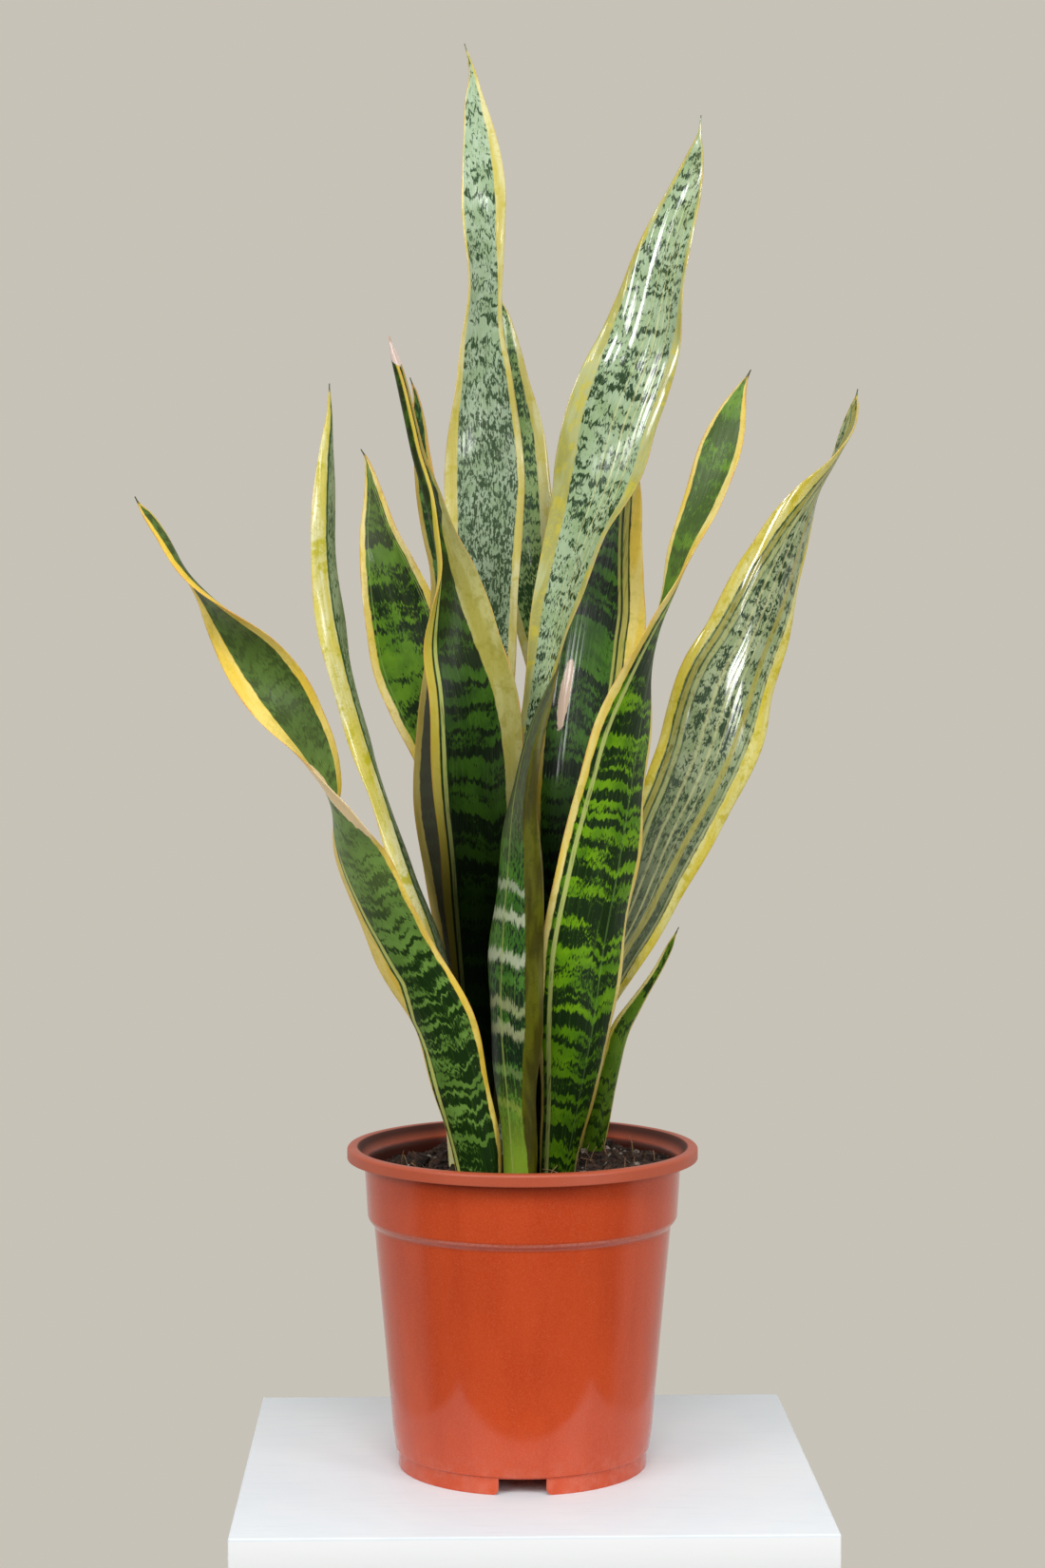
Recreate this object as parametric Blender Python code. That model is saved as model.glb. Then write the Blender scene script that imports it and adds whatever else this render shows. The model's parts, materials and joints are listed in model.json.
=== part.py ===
"""A potted laurentii snake plant.

Thirteen stiff, channelled leaves stand in plain holes in the soil of a round terracotta plastic pot.
The sizes below are in millimetres. The model itself is in metres, with +Z up. The origin is on the
surface that the pot stands on, at the pot's axis, and the plant's front faces -Y.
"""

import math

import bmesh
import bpy
import numpy as np
from mathutils import Matrix

MM = 0.001
GAP = 0.3  # between pieces that touch

# Pot
RIM_RADIUS = 105.0
POT_HEIGHT = 192.0
RIM_BAND = 7.5
COLLAR_RADIUS = 94.9
SHOULDER_HEIGHT = 150.0
BODY_TOP_RADIUS = 89.0
BODY_LOW_RADIUS = 79.0
FOOT_RADIUS = 74.5
FOOT_HEIGHT = 10.0
FOOT_OVERHANG = 1.7  # of the body over the foot
BODY_LOW_CURVE = ((1.0, 23.0), (0.0, 36.0))  # (distance in from the low radius, height)
SHOULDER_EASE = 2.5
COLLAR_TAPER = 2.1  # the collar is this much narrower at the shoulder than under the rim
RIM_EDGE = 1.0
RIM_CROWN = ((0.0, 2.9), (1.3, 0.7), (4.0, 0.0), (6.6, 0.5), (7.6, 1.8))  # (distance in, below the top)
WALL = 2.0
FLOOR = 2.0
POT_SIDES = 56
NOTCH_COUNT = 3
NOTCH_WIDTH = 27.7
NOTCH_HEIGHT = 9.6
NOTCH_ROUND = 4.0
DRAIN_COUNT = 6
DRAIN_RADIUS = 5.0
DRAIN_CIRCLE = 48.0
DRAIN_SIDES = 10
CUT_PAST = 4.0  # how far a cutter reaches past what it cuts

# Soil
SOIL_TOP = 173.0
SOIL_LUMP = 2.6
SOIL_SIDES = 48
SOIL_RINGS = (14.0, 28.0, 42.0, 55.0, 67.0, 78.0, 87.0)

# Leaves
RING_STEP = 13.0  # along a leaf, between two cross-sections
ACROSS = (-1.0, -0.5, 0.0, 0.5, 1.0)  # places across a leaf, from its left edge to its right edge
BASE_THICKNESS = 4.6
TOP_THICKNESS = 2.6
EDGE_THICKNESS = 1.0
WAVE_HEIGHT = 1.3
WAVE_LENGTH = 74.0
HOLE_REACH = 16.0  # of a hole's cutter above the soil, at most

# Each leaf is a list of stations up its middle line: height, x, y, width measured along the curved
# blade, turn of the blade about the vertical in degrees (at 0 its right edge points to +X), and the
# angle that its channel bends through in degrees (above 0 the hollow side is the blade's front).
LEAVES = {
    "leaf_front_centre": [
        (151, -1, -47, 21, 0, -150),
        (186, -2, -50, 24, -8, -130),
        (225, -4, -52, 27, -20, -105),
        (270, -6, -53, 40, -32, -88),
        (325, -5, -55, 40, -35, -80),
        (360, -3, -57, 36, -40, -72),
        (400, -1, -59, 26.5, -52, -68),
        (440, 7, -61, 18.5, -58, -60),
        (465, 16, -62, 8, -55, -50),
        (473, 19, -62, 2.4, -50, -30),
        (481, 22, -63, 1.4, -50, -30),
    ],
    "leaf_front_left": [
        (151, -23, -38, 24, 0, -140),
        (186, -26, -43, 33, 0, -120),
        (225, -34, -52, 36, -3, -95),
        (271, -46, -63, 40, -10, -75),
        (316, -71, -73, 46, -28, -65),
        (345, -85, -81, 53, -42, -66),
        (375, -96, -91, 54, -55, -74),
        (404, -104, -102, 51, -84, -80),
        (430, -116, -111, 44.5, -118, -70),
        (450, -128, -116, 41, -140, -58),
        (472, -142, -121, 38, -168, -52),
        (492, -156, -126, 35.5, -203, -52),
        (510, -170, -131, 31, -236, -52),
        (531, -187, -134, 18, -272, -52),
        (552, -199, -137, 10, -305, -50),
        (562, -206, -139, 6, -318, -40),
        (567, -210, -139, 2.2, -322, -30),
        (571, -212, -140, 1.4, -322, -30),
    ],
    "leaf_front_right": [
        (151, 19, -38, 23, 0, -140),
        (184, 21, -40, 26, 0, -130),
        (223, 26, -42, 35, 5, -100),
        (268, 32, -43, 49, 15, -80),
        (313, 37, -44, 57, 25, -65),
        (357, 45, -47, 57, 28, -60),
        (402, 53, -50, 54, 35, -55),
        (446, 61, -54, 50, 48, -52),
        (475, 68, -57, 43, 62, -52),
        (500, 76, -59, 39, 82, -52),
        (523, 85, -61, 32, 101, -52),
        (545, 92, -63, 27.5, 119, -50),
        (576, 105, -65, 27.5, 146, -45),
        (604, 114, -67, 26, 155, -40),
        (626, 121, -69, 14.5, 160, -35),
        (639, 126, -70, 4.5, 160, -30),
        (647, 130, -71, 1.4, 160, -30),
    ],
    "leaf_centre_left": [
        (151, -24, -11, 24, 0, 140),
        (180, -25, -14, 25, 0, 135),
        (219, -25, -15, 29, 0, 120),
        (265, -24, -16, 35, 0, 95),
        (310, -24, -17, 42, 0, 75),
        (355, -24, -18, 49, 0, 60),
        (400, -26, -19, 54, 0, 50),
        (430, -27, -19, 56, 3, 48),
        (468, -31, -21, 54, 9, 58),
        (490, -36, -21, 51, 16, 75),
        (512, -39, -22, 45.5, 29, 98),
        (535, -42, -22, 36, 46, 130),
        (557, -48, -23, 27, 61, 160),
        (579, -54, -24, 22, 72, 180),
        (601, -61, -24, 17, 78, 185),
        (623, -66, -25, 15.5, 80, 180),
        (645, -71, -25, 14, 80, 160),
        (660, -75, -26, 9, 75, 120),
        (667, -77, -26, 4.5, 70, 80),
        (671, -78, -26, 2.4, 70, 60),
    ],
    "leaf_inner_left": [
        (151, -30, 20, 22, 0, 130),
        (178, -30, 20, 23, 0, 120),
        (237, -32, 20, 27, -10, 95),
        (307, -37, 19, 30, -20, 75),
        (353, -44, 18, 33, -26, 65),
        (399, -51, 17, 34, -32, 60),
        (445, -50, 15, 31, -36, 60),
        (490, -47, 13, 25, -36, 60),
        (536, -47, 11, 19, -30, 60),
        (560, -52, 10, 18, -22, 55),
        (582, -57, 9, 14, -15, 50),
        (604, -60, 8, 10.5, -10, 45),
        (626, -62, 6, 7.5, -5, 40),
        (641, -64, 5, 3, 0, 30),
        (650, -67, 5, 1.4, 0, 30),
    ],
    "leaf_slender_left": [
        (151, -35, 4, 19, 15, -130),
        (176, -35, 3, 20, 22, -120),
        (217, -38, 2, 22, 38, -105),
        (263, -43, 1, 25, 54, -88),
        (309, -52, 0, 28, 66, -72),
        (354, -69, 0, 29, 70, -62),
        (400, -85, -1, 27, 71, -60),
        (445, -99, -3, 28, 66, -60),
        (490, -110, -4, 30, 61, -60),
        (535, -116, -6, 28, 58, -55),
        (569, -117, -7, 23.5, 58, -50),
        (591, -116, -8, 18.5, 57, -50),
        (613, -115, -9, 11, 57, -45),
        (627, -114, -9, 5, 57, -40),
        (636, -114, -10, 2.2, 57, -30),
        (645, -114, -10, 1.4, 57, -30),
    ],
    "leaf_back_left": [
        (151, -26, 48, 22, 0, 130),
        (175, -26, 48, 24, 0, 120),
        (234, -28, 47, 29, 0, 95),
        (304, -32, 46, 34, 0, 75),
        (374, -37, 47, 38, -5, 60),
        (421, -45, 48, 41, -8, 50),
        (455, -59, 49, 47, -10, 45),
        (480, -67, 50, 51, -10, 42),
        (505, -73, 51, 48, -10, 42),
        (538, -82, 51, 37, -14, 42),
        (561, -88, 52, 25.5, -20, 40),
        (583, -91, 52, 13.5, -25, 35),
        (599, -94, 52, 5.5, -25, 30),
        (606, -96, 52, 2.4, -25, 30),
        (611, -99, 52, 1.4, -25, 30),
    ],
    "leaf_tall_centre": [
        (151, -6, 31, 20, 0, 140),
        (172, -7, 30, 22, 0, 130),
        (236, -11, 30, 27, 0, 100),
        (306, -17, 31, 32, 0, 75),
        (375, -22, 33, 36, 0, 60),
        (445, -25, 35, 40, 3, 50),
        (513, -25, 37, 45, 5, 42),
        (560, -24, 38, 48, 2, 40),
        (591, -23, 39, 50, 8, 38),
        (629, -24, 40, 46, 22, 38),
        (651, -24, 40, 43, 36, 40),
        (682, -25, 40, 39.5, 53, 42),
        (709, -24, 40, 37, 54, 42),
        (743, -24, 40, 32, 40, 40),
        (773, -24, 39, 27, 10, 38),
        (799, -26, 38, 20, 0, 36),
        (821, -29, 37, 11.5, 0, 34),
        (835, -30, 36, 4.5, 0, 30),
        (843, -32, 35, 2.2, 0, 30),
        (853, -35, 34, 1.4, 0, 30),
    ],
    "leaf_behind_tall": [
        (151, 8, 57, 20, 0, 140),
        (175, 8, 57, 22, 0, 130),
        (240, 9, 58, 26, 0, 100),
        (300, 11, 58, 29, 0, 80),
        (380, 15, 59, 32, 0, 65),
        (440, 19, 61, 32, 5, 55),
        (467, 19, 61, 32, 10, 52),
        (490, 15, 62, 33, 14, 50),
        (514, 9, 63, 35, 18, 46),
        (549, 3, 64, 38, 20, 42),
        (584, 0, 65, 37.5, 20, 40),
        (622, -3, 66, 34, 20, 40),
        (655, -8, 66, 24.5, 20, 38),
        (678, -10, 66, 16, 20, 36),
        (696, -12, 66, 6.5, 20, 32),
        (702, -13, 66, 2.4, 20, 30),
        (708, -13, 66, 1.4, 20, 30),
    ],
    "leaf_tall_right": [
        (151, -2, 4, 18, 0, 140),
        (178, -2, 4, 19, 0, 130),
        (240, -3, 4, 18, 0, 125),
        (308, -3, 3, 17, 0, 125),
        (370, -3, 2, 16.5, -5, 125),
        (415, 2, 0, 16.5, -12, 122),
        (445, 6, -1, 17, -18, 118),
        (468, 10, -2, 20, -21, 108),
        (490, 15, -3, 26, -25, 90),
        (513, 20, -4, 32.5, -29, 75),
        (535, 26, -5, 39, -36, 62),
        (557, 33, -6, 47, -37, 52),
        (580, 41, -6, 53, -28, 45),
        (602, 47, -7, 56, -15, 42),
        (625, 53, -7, 56, -6, 40),
        (646, 61, -8, 55, -6, 40),
        (669, 70, -8, 52, -21, 42),
        (692, 76, -9, 47, -31, 42),
        (713, 81, -9, 40, -30, 42),
        (736, 88, -10, 30, -25, 40),
        (758, 96, -10, 20.5, -15, 40),
        (780, 102, -10, 9.5, -10, 36),
        (791, 104, -10, 2.6, -10, 30),
        (802, 105, -10, 1.4, -10, 30),
    ],
    "leaf_middle_right": [
        (151, 12, -14, 20, 0, 130),
        (178, 12, -14, 21, 0, 125),
        (215, 15, -10, 25, 2, 110),
        (280, 22, 0, 36, 5, 82),
        (330, 27, 8, 44, 8, 68),
        (375, 31, 14, 52, 10, 58),
        (421, 35, 21, 57, 12, 50),
        (467, 41, 27, 60, 12, 48),
        (495, 45, 28, 59, 12, 46),
        (514, 48, 29, 56, 12, 45),
        (536, 53, 29, 43, 12, 44),
        (559, 57, 30, 32, 12, 42),
        (582, 61, 31, 23, 12, 40),
        (602, 64, 31, 11, 12, 36),
        (612, 65, 32, 4, 12, 30),
        (620, 66, 32, 1.4, 12, 30),
    ],
    "leaf_far_right": [
        (151, 21, 15, 20, 10, -140),
        (175, 22, 18, 21, 10, -130),
        (213, 27, 27, 22, 10, -110),
        (236, 32, 33, 22, 10, -98),
        (258, 38, 39, 24, 10, -85),
        (281, 48, 44, 30, 9, -75),
        (304, 59, 50, 36, 8, -68),
        (327, 71, 57, 43, 8, -60),
        (350, 81, 65, 49, 8, -55),
        (373, 91, 72, 55, 8, -50),
        (396, 103, 79, 59, 8, -48),
        (420, 114, 86, 63, 8, -46),
        (443, 122, 93, 67, 10, -45),
        (467, 130, 100, 66, 15, -45),
        (491, 141, 107, 60, 22, -45),
        (515, 151, 113, 57.5, 29, -45),
        (539, 161, 120, 53, 36, -45),
        (563, 171, 124, 45, 44, -45),
        (588, 184, 128, 32, 57, -45),
        (612, 200, 133, 21, 88, -45),
        (634, 210, 136, 13, 128, -45),
        (646, 213, 138, 6, 135, -40),
        (651, 214, 139, 2.4, 135, -30),
        (656, 215, 140, 1.4, 135, -30),
    ],
    "leaf_small_right": [
        (151, 38, 39, 17, 10, -110),
        (172, 41, 38, 18, 10, -100),
        (212, 48, 36, 16.5, 10, -85),
        (235, 54, 35, 14.5, 10, -80),
        (259, 61, 33, 12.5, 10, -75),
        (271, 68, 32, 9.5, 10, -68),
        (282, 75, 31, 7, 10, -60),
        (295, 83, 30, 5.5, 10, -55),
        (307, 89, 29, 4.4, 10, -50),
        (314, 92, 28, 2.4, 10, -40),
        (320, 95, 28, 1.4, 10, -30),
    ],
}

# Colours, seen in the shade on one side and in full light on the other
TERRACOTTA = (0.52, 0.09, 0.035)
PEAT = (0.035, 0.022, 0.015)
SHADED_GREEN = (0.045, 0.16, 0.018)
LIT_GREEN = (0.30, 0.46, 0.25)
LIT_LEAVES = ("leaf_tall_centre", "leaf_behind_tall", "leaf_tall_right", "leaf_far_right")


def clear_scene():
    """Removes every object of the scene that the script starts in."""
    for thing in list(bpy.data.objects):
        bpy.data.objects.remove(thing, do_unlink=True)


def finish_of(name, colour, roughness):
    """A plain surface of one colour."""
    finish = bpy.data.materials.new(name)
    finish.use_nodes = True
    surface = finish.node_tree.nodes["Principled BSDF"]
    surface.inputs["Base Color"].default_value = (*colour, 1.0)
    surface.inputs["Roughness"].default_value = roughness
    surface.inputs["Metallic"].default_value = 0.0
    return finish


def object_from(name, points, faces, finish=None):
    """An object at the origin from points in millimetres and faces that close round a body."""
    mesh = bpy.data.meshes.new(name)
    mesh.from_pydata([tuple(coordinate * MM for coordinate in point) for point in points], [], faces)
    shell = bmesh.new()
    shell.from_mesh(mesh)
    bmesh.ops.recalc_face_normals(shell, faces=shell.faces)
    shell.to_mesh(mesh)
    shell.free()
    thing = bpy.data.objects.new(name, mesh)
    bpy.context.scene.collection.objects.link(thing)
    if finish:
        mesh.materials.append(finish)
    return thing


def shade_round(thing, sharp_degrees):
    """Shades an object smooth, but for edges sharper than this."""
    thing.data.shade_smooth()
    thing.data.set_sharp_from_angle(angle=math.radians(sharp_degrees))


def make_cutter(thing):
    """Keeps an object as a cutter only."""
    thing.hide_render = True
    thing.display_type = "WIRE"


def cut_out(thing, cutters, name):
    """Cuts a collection of cutters out of an object."""
    cut = thing.modifiers.new(name, "BOOLEAN")
    cut.operation = "DIFFERENCE"
    cut.operand_type = "COLLECTION"
    cut.collection = cutters
    cut.solver = "EXACT"


def collection_of(name, things):
    """A collection of cutters, taken out of the scene's own collection."""
    group = bpy.data.collections.new(name)
    bpy.context.scene.collection.children.link(group)
    for thing in things:
        bpy.context.scene.collection.objects.unlink(thing)
        group.objects.link(thing)
        make_cutter(thing)
    return group


def turned(profile, sides):
    """Points and faces of a profile of (radius, height) turned about the axis, where both its ends lie."""
    points = [(0.0, 0.0, profile[0][1])]
    for radius, height in profile[1:-1]:
        for side in range(sides):
            angle = math.tau * side / sides
            points.append((radius * math.cos(angle), radius * math.sin(angle), height))
    points.append((0.0, 0.0, profile[-1][1]))
    last = len(points) - 1
    faces = []
    for side in range(sides):
        beside = (side + 1) % sides
        faces.append((0, 1 + beside, 1 + side))
        for ring in range(len(profile) - 3):
            low = 1 + ring * sides
            high = low + sides
            faces.append((low + side, low + beside, high + beside, high + side))
        top = last - sides
        faces.append((top + side, top + beside, last))
    return points, faces


def pot_outside():
    """The pot's outer side, from the foot's bottom edge up to the rim's outer top edge."""
    rim_low = POT_HEIGHT - RIM_BAND
    profile = [
        (FOOT_RADIUS, 0.0),
        (FOOT_RADIUS, FOOT_HEIGHT),
        (FOOT_RADIUS + FOOT_OVERHANG, FOOT_HEIGHT + FOOT_OVERHANG / 2),
    ]
    profile += [(BODY_LOW_RADIUS - inward, height) for inward, height in BODY_LOW_CURVE]
    profile += [
        (BODY_TOP_RADIUS, SHOULDER_HEIGHT - 2 * SHOULDER_EASE),
        (BODY_TOP_RADIUS + SHOULDER_EASE, SHOULDER_HEIGHT - SHOULDER_EASE),
        (COLLAR_RADIUS - COLLAR_TAPER, SHOULDER_HEIGHT),
        (COLLAR_RADIUS, rim_low),
        (RIM_RADIUS - RIM_EDGE, rim_low),
        (RIM_RADIUS, rim_low + RIM_EDGE),
    ]
    return profile + [(RIM_RADIUS - inward, POT_HEIGHT - down) for inward, down in RIM_CROWN[:2]]


def pot_inside():
    """The pot's inner side, from the rim's inner top edge down to the corner of the floor."""
    profile = [(RIM_RADIUS - inward, POT_HEIGHT - down) for inward, down in RIM_CROWN[2:]]
    profile += [
        (COLLAR_RADIUS - WALL, POT_HEIGHT - RIM_BAND - WALL),
        (COLLAR_RADIUS - COLLAR_TAPER - WALL, SHOULDER_HEIGHT + SHOULDER_EASE / 2),
        (BODY_TOP_RADIUS - WALL, SHOULDER_HEIGHT - 2 * SHOULDER_EASE),
    ]
    profile += [(BODY_LOW_RADIUS - WALL - inward, height) for inward, height in reversed(BODY_LOW_CURVE)]
    return profile + [(FOOT_RADIUS - WALL / 2, FOOT_HEIGHT + FLOOR)]


def notch_outline():
    """The outline of a notch in the foot, with the foot's lower corners rounded beside its mouth."""
    centre = NOTCH_WIDTH / 2 + NOTCH_ROUND
    right = []
    for degrees in (20, 45, 70, 90):
        angle = math.radians(degrees)
        right.append((centre - NOTCH_ROUND * math.sin(angle), NOTCH_ROUND - NOTCH_ROUND * math.cos(angle)))
    right.insert(0, (right[0][0], -CUT_PAST))
    right.append((NOTCH_WIDTH / 2, NOTCH_HEIGHT))
    return right + [(-x, z) for x, z in reversed(right)]


def prism(outline, near, far):
    """Points and faces of an outline in (x, z) extruded along Y."""
    count = len(outline)
    points = [(x, near, z) for x, z in outline] + [(x, far, z) for x, z in outline]
    faces = [tuple(range(count)), tuple(range(2 * count - 1, count - 1, -1))]
    for corner in range(count):
        beside = (corner + 1) % count
        faces.append((corner, beside, count + beside, count + corner))
    return points, faces


def build_pot():
    """The pot: a thin turned wall with a rolled rim, a collar, a floor with drain holes and a notched foot."""
    foot_inside = [(0.0, FOOT_HEIGHT), (FOOT_RADIUS - WALL, FOOT_HEIGHT), (FOOT_RADIUS - WALL, 0.0)]
    profile = foot_inside + pot_outside() + pot_inside() + [(0.0, FOOT_HEIGHT + FLOOR)]
    pot = object_from("pot", *turned(profile, POT_SIDES), finish_of("terracotta_plastic", TERRACOTTA, 0.42))
    cutters = []
    for index in range(NOTCH_COUNT):
        near, far = -FOOT_RADIUS - CUT_PAST, -FOOT_RADIUS + 2 * WALL + CUT_PAST
        cutter = object_from(f"notch_cutter_{index}", *prism(notch_outline(), near, far))
        cutter.data.transform(Matrix.Rotation(math.tau * index / NOTCH_COUNT, 4, "Z"))
        cutters.append(cutter)
    for index in range(DRAIN_COUNT):
        angle = math.tau * (index + 0.5) / DRAIN_COUNT
        low, high = FOOT_HEIGHT - CUT_PAST, FOOT_HEIGHT + FLOOR + CUT_PAST
        outline = [(0.0, low), (DRAIN_RADIUS, low), (DRAIN_RADIUS, high), (0.0, high)]
        cutter = object_from(f"drain_cutter_{index}", *turned(outline, DRAIN_SIDES))
        shift = (DRAIN_CIRCLE * MM * math.cos(angle), DRAIN_CIRCLE * MM * math.sin(angle), 0.0)
        cutter.data.transform(Matrix.Translation(shift))
        cutters.append(cutter)
    cut_out(pot, collection_of("pot_cutters", cutters), "notches_and_drains")
    shade_round(pot, 32)
    return pot


def soil_height(x, y):
    """The height of the soil's lumpy top."""
    lumps = math.sin(0.13 * x + 1.0) * math.cos(0.11 * y - 0.6)
    clods = math.sin(0.31 * x - 0.22 * y) + math.cos(0.27 * y + 0.19 * x + 2.0)
    return SOIL_TOP + SOIL_LUMP * (0.55 * lumps + 0.28 * clods)


def build_soil(cutters):
    """The root ball and potting soil that fill the pot, with a plain hole for each leaf."""
    side = [(radius - GAP, height) for radius, height in reversed(pot_inside()[4:])]
    side[0] = (side[0][0] - GAP, side[0][1] + GAP)
    wall_radius = COLLAR_RADIUS - WALL - 0.7 - GAP
    profile = [(0.0, side[0][1])] + side + [(wall_radius, SOIL_TOP)]
    profile += [(radius, SOIL_TOP) for radius in reversed(SOIL_RINGS)] + [(0.0, SOIL_TOP)]
    points, faces = turned(profile, SOIL_SIDES)
    heights = [soil_height(x, y) if z >= SOIL_TOP else z for x, y, z in points]
    points = [(x, y, height) for (x, y, _), height in zip(points, heights)]
    soil = object_from("soil", points, faces, finish_of("potting_soil", PEAT, 0.95))
    cut_out(soil, collection_of("soil_cutters", cutters), "leaf_holes")
    return soil


def read_curve(knots, values, places):
    """Reads a smooth curve through values at knots. Its slope at a knot is a mean of the slopes beside it."""
    spans = np.diff(knots)
    chords = np.diff(values, axis=0) / spans[:, None]
    share = (spans[:-1] / (spans[:-1] + spans[1:]))[:, None]
    slopes = np.vstack([chords[:1], chords[:-1] * (1 - share) + chords[1:] * share, chords[-1:]])
    span = np.clip(np.searchsorted(knots, places, side="right") - 1, 0, len(spans) - 1)
    length = spans[span][:, None]
    t = (places[:, None] - knots[span][:, None]) / length
    start = values[span] * (1 + 2 * t) * (1 - t) ** 2 + slopes[span] * length * t * (1 - t) ** 2
    end = values[span + 1] * t**2 * (3 - 2 * t) + slopes[span + 1] * length * t**2 * (t - 1)
    return start + end


def leaf_stations(stations, step, top=None):
    """Evenly spaced stations along a leaf, up to a height if one is given, and their distances along it."""
    table = np.array([(x, y, z, width, turn, cup) for z, x, y, width, turn, cup in stations], float)
    knots = np.concatenate([[0.0], np.cumsum(np.linalg.norm(np.diff(table[:, :3], axis=0), axis=1))])
    count = round(knots[-1] / step)
    places = np.linspace(0.0, knots[-1], count + 1)
    rows = read_curve(knots, table, places)
    if top is not None:
        keep = rows[:, 2] <= top
        rows, places = rows[keep], places[keep]
    return rows, places, knots[-1]


def leaf_rings(stations, step, grow=0.0, top=None):
    """The cross-sections of a leaf: for each, the points across its front and those across its back."""
    rows, places, length = leaf_stations(stations, step, top)
    tangents = np.gradient(rows[:, :3], axis=0)
    tangents /= np.linalg.norm(tangents, axis=1)[:, None]
    phase = rows[0, 0] + rows[0, 1]
    rings = []
    rows[0, :3] -= tangents[0] * grow
    for row, along, tangent in zip(rows, places, tangents):
        centre, (width, turn, cup) = row[:3], row[3:]
        across = np.array([math.cos(math.radians(turn)), math.sin(math.radians(turn)), 0.0])
        across -= tangent * across.dot(tangent)
        across /= np.linalg.norm(across)
        front = np.cross(across, tangent)
        half_bend = math.radians(cup) / 2
        radius = width / 2 / half_bend
        middle = 0.4 * radius * (1 - math.cos(half_bend))
        share = along / length
        thickness = BASE_THICKNESS + (TOP_THICKNESS - BASE_THICKNESS) * math.sqrt(share)
        thickness = max(EDGE_THICKNESS, min(thickness, 0.3 * width))
        swell = WAVE_HEIGHT * min(1.0, width / 30) * math.sin(math.pi * share) ** 0.5
        front_points, back_points = [], []
        for place in ACROSS:
            bend = half_bend * place * (1 + 2 * grow / width)
            skin = math.cos(bend) * front - math.sin(bend) * across
            wave = swell * abs(place) ** 3 * math.sin(math.tau * along / WAVE_LENGTH + phase + 1.7 * place)
            point = centre + radius * math.sin(bend) * across + wave * skin
            point = point + (radius * (1 - math.cos(bend)) - middle) * front
            half = (EDGE_THICKNESS + (thickness - EDGE_THICKNESS) * (1 - place * place)) / 2 + grow
            front_points.append(point + half * skin)
            back_points.append(point - half * skin)
        rings.append((front_points, back_points))
    return rings


def leaf_mesh(rings):
    """Points and triangles of a leaf, split alike on both faces so that a thin blade never crosses itself."""
    count = len(ACROSS)
    points = []
    for front_points, back_points in rings:
        points += [tuple(point) for point in front_points]
        points += [tuple(point) for point in back_points]
    faces = []
    for ring in range(len(rings) - 1):
        low = 2 * count * ring
        high = low + 2 * count
        for side in (0, count):
            for place in range(count - 1):
                a, b = low + side + place, low + side + place + 1
                c, d = high + side + place + 1, high + side + place
                faces += [(a, b, c), (a, c, d)]
        for edge in (0, count - 1):
            a, b = low + edge, low + count + edge
            c, d = high + count + edge, high + edge
            faces += [(a, b, c), (a, c, d)]
    for ring in (0, len(rings) - 1):
        low = 2 * count * ring
        for place in range(count - 1):
            a, b = low + place, low + place + 1
            c, d = low + count + place + 1, low + count + place
            faces += [(a, b, c), (a, c, d)]
    return points, faces


def build_leaf(name, stations, finish):
    """One leaf, from its foot below the soil to its pointed tip."""
    leaf = object_from(name, *leaf_mesh(leaf_rings(stations, RING_STEP)), finish)
    shade_round(leaf, 60)
    return leaf


def build_leaf_cutter(name, stations):
    """The foot of a leaf, larger by the gap all round, which cuts its hole in the soil."""
    rings = leaf_rings(stations, RING_STEP, GAP, SOIL_TOP + HOLE_REACH)
    return object_from(name + "_cutter", *leaf_mesh(rings))


def main():
    clear_scene()
    build_pot()
    shaded = finish_of("leaf_shaded", SHADED_GREEN, 0.38)
    lit = finish_of("leaf_lit", LIT_GREEN, 0.32)
    cutters = []
    for name, stations in LEAVES.items():
        build_leaf(name, stations, lit if name in LIT_LEAVES else shaded)
        cutters.append(build_leaf_cutter(name, stations))
    build_soil(cutters)


main()
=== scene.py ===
# %% [markdown]
# # A potted laurentii snake plant
#
# This lesson dresses a plain CAD model of a snake plant in its pot. The plant has thirteen stiff leaves
# with yellow edges. Each leaf is a channel-shaped blade that leans, narrows and twists in its own way.
# We load the CAD model first. It is the frame that every piece has to fit.

import json
import math

import bmesh
import bpy
import numpy as np
from mathutils import Euler, Matrix, Vector

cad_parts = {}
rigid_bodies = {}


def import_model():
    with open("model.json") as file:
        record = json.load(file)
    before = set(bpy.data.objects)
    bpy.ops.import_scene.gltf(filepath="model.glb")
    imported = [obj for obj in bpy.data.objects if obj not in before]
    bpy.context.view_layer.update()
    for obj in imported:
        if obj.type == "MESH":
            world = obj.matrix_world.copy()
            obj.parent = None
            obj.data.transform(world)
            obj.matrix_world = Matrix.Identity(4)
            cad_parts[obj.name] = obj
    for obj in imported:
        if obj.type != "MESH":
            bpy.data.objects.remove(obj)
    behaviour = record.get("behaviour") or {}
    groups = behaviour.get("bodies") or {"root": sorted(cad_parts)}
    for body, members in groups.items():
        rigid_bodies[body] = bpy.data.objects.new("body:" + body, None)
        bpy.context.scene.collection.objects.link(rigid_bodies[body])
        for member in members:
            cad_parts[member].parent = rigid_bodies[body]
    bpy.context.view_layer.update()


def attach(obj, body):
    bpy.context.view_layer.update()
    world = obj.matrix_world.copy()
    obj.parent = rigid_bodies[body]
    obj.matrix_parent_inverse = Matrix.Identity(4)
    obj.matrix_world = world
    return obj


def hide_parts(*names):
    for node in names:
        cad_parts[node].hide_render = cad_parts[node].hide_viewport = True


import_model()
MM = 0.001
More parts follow.
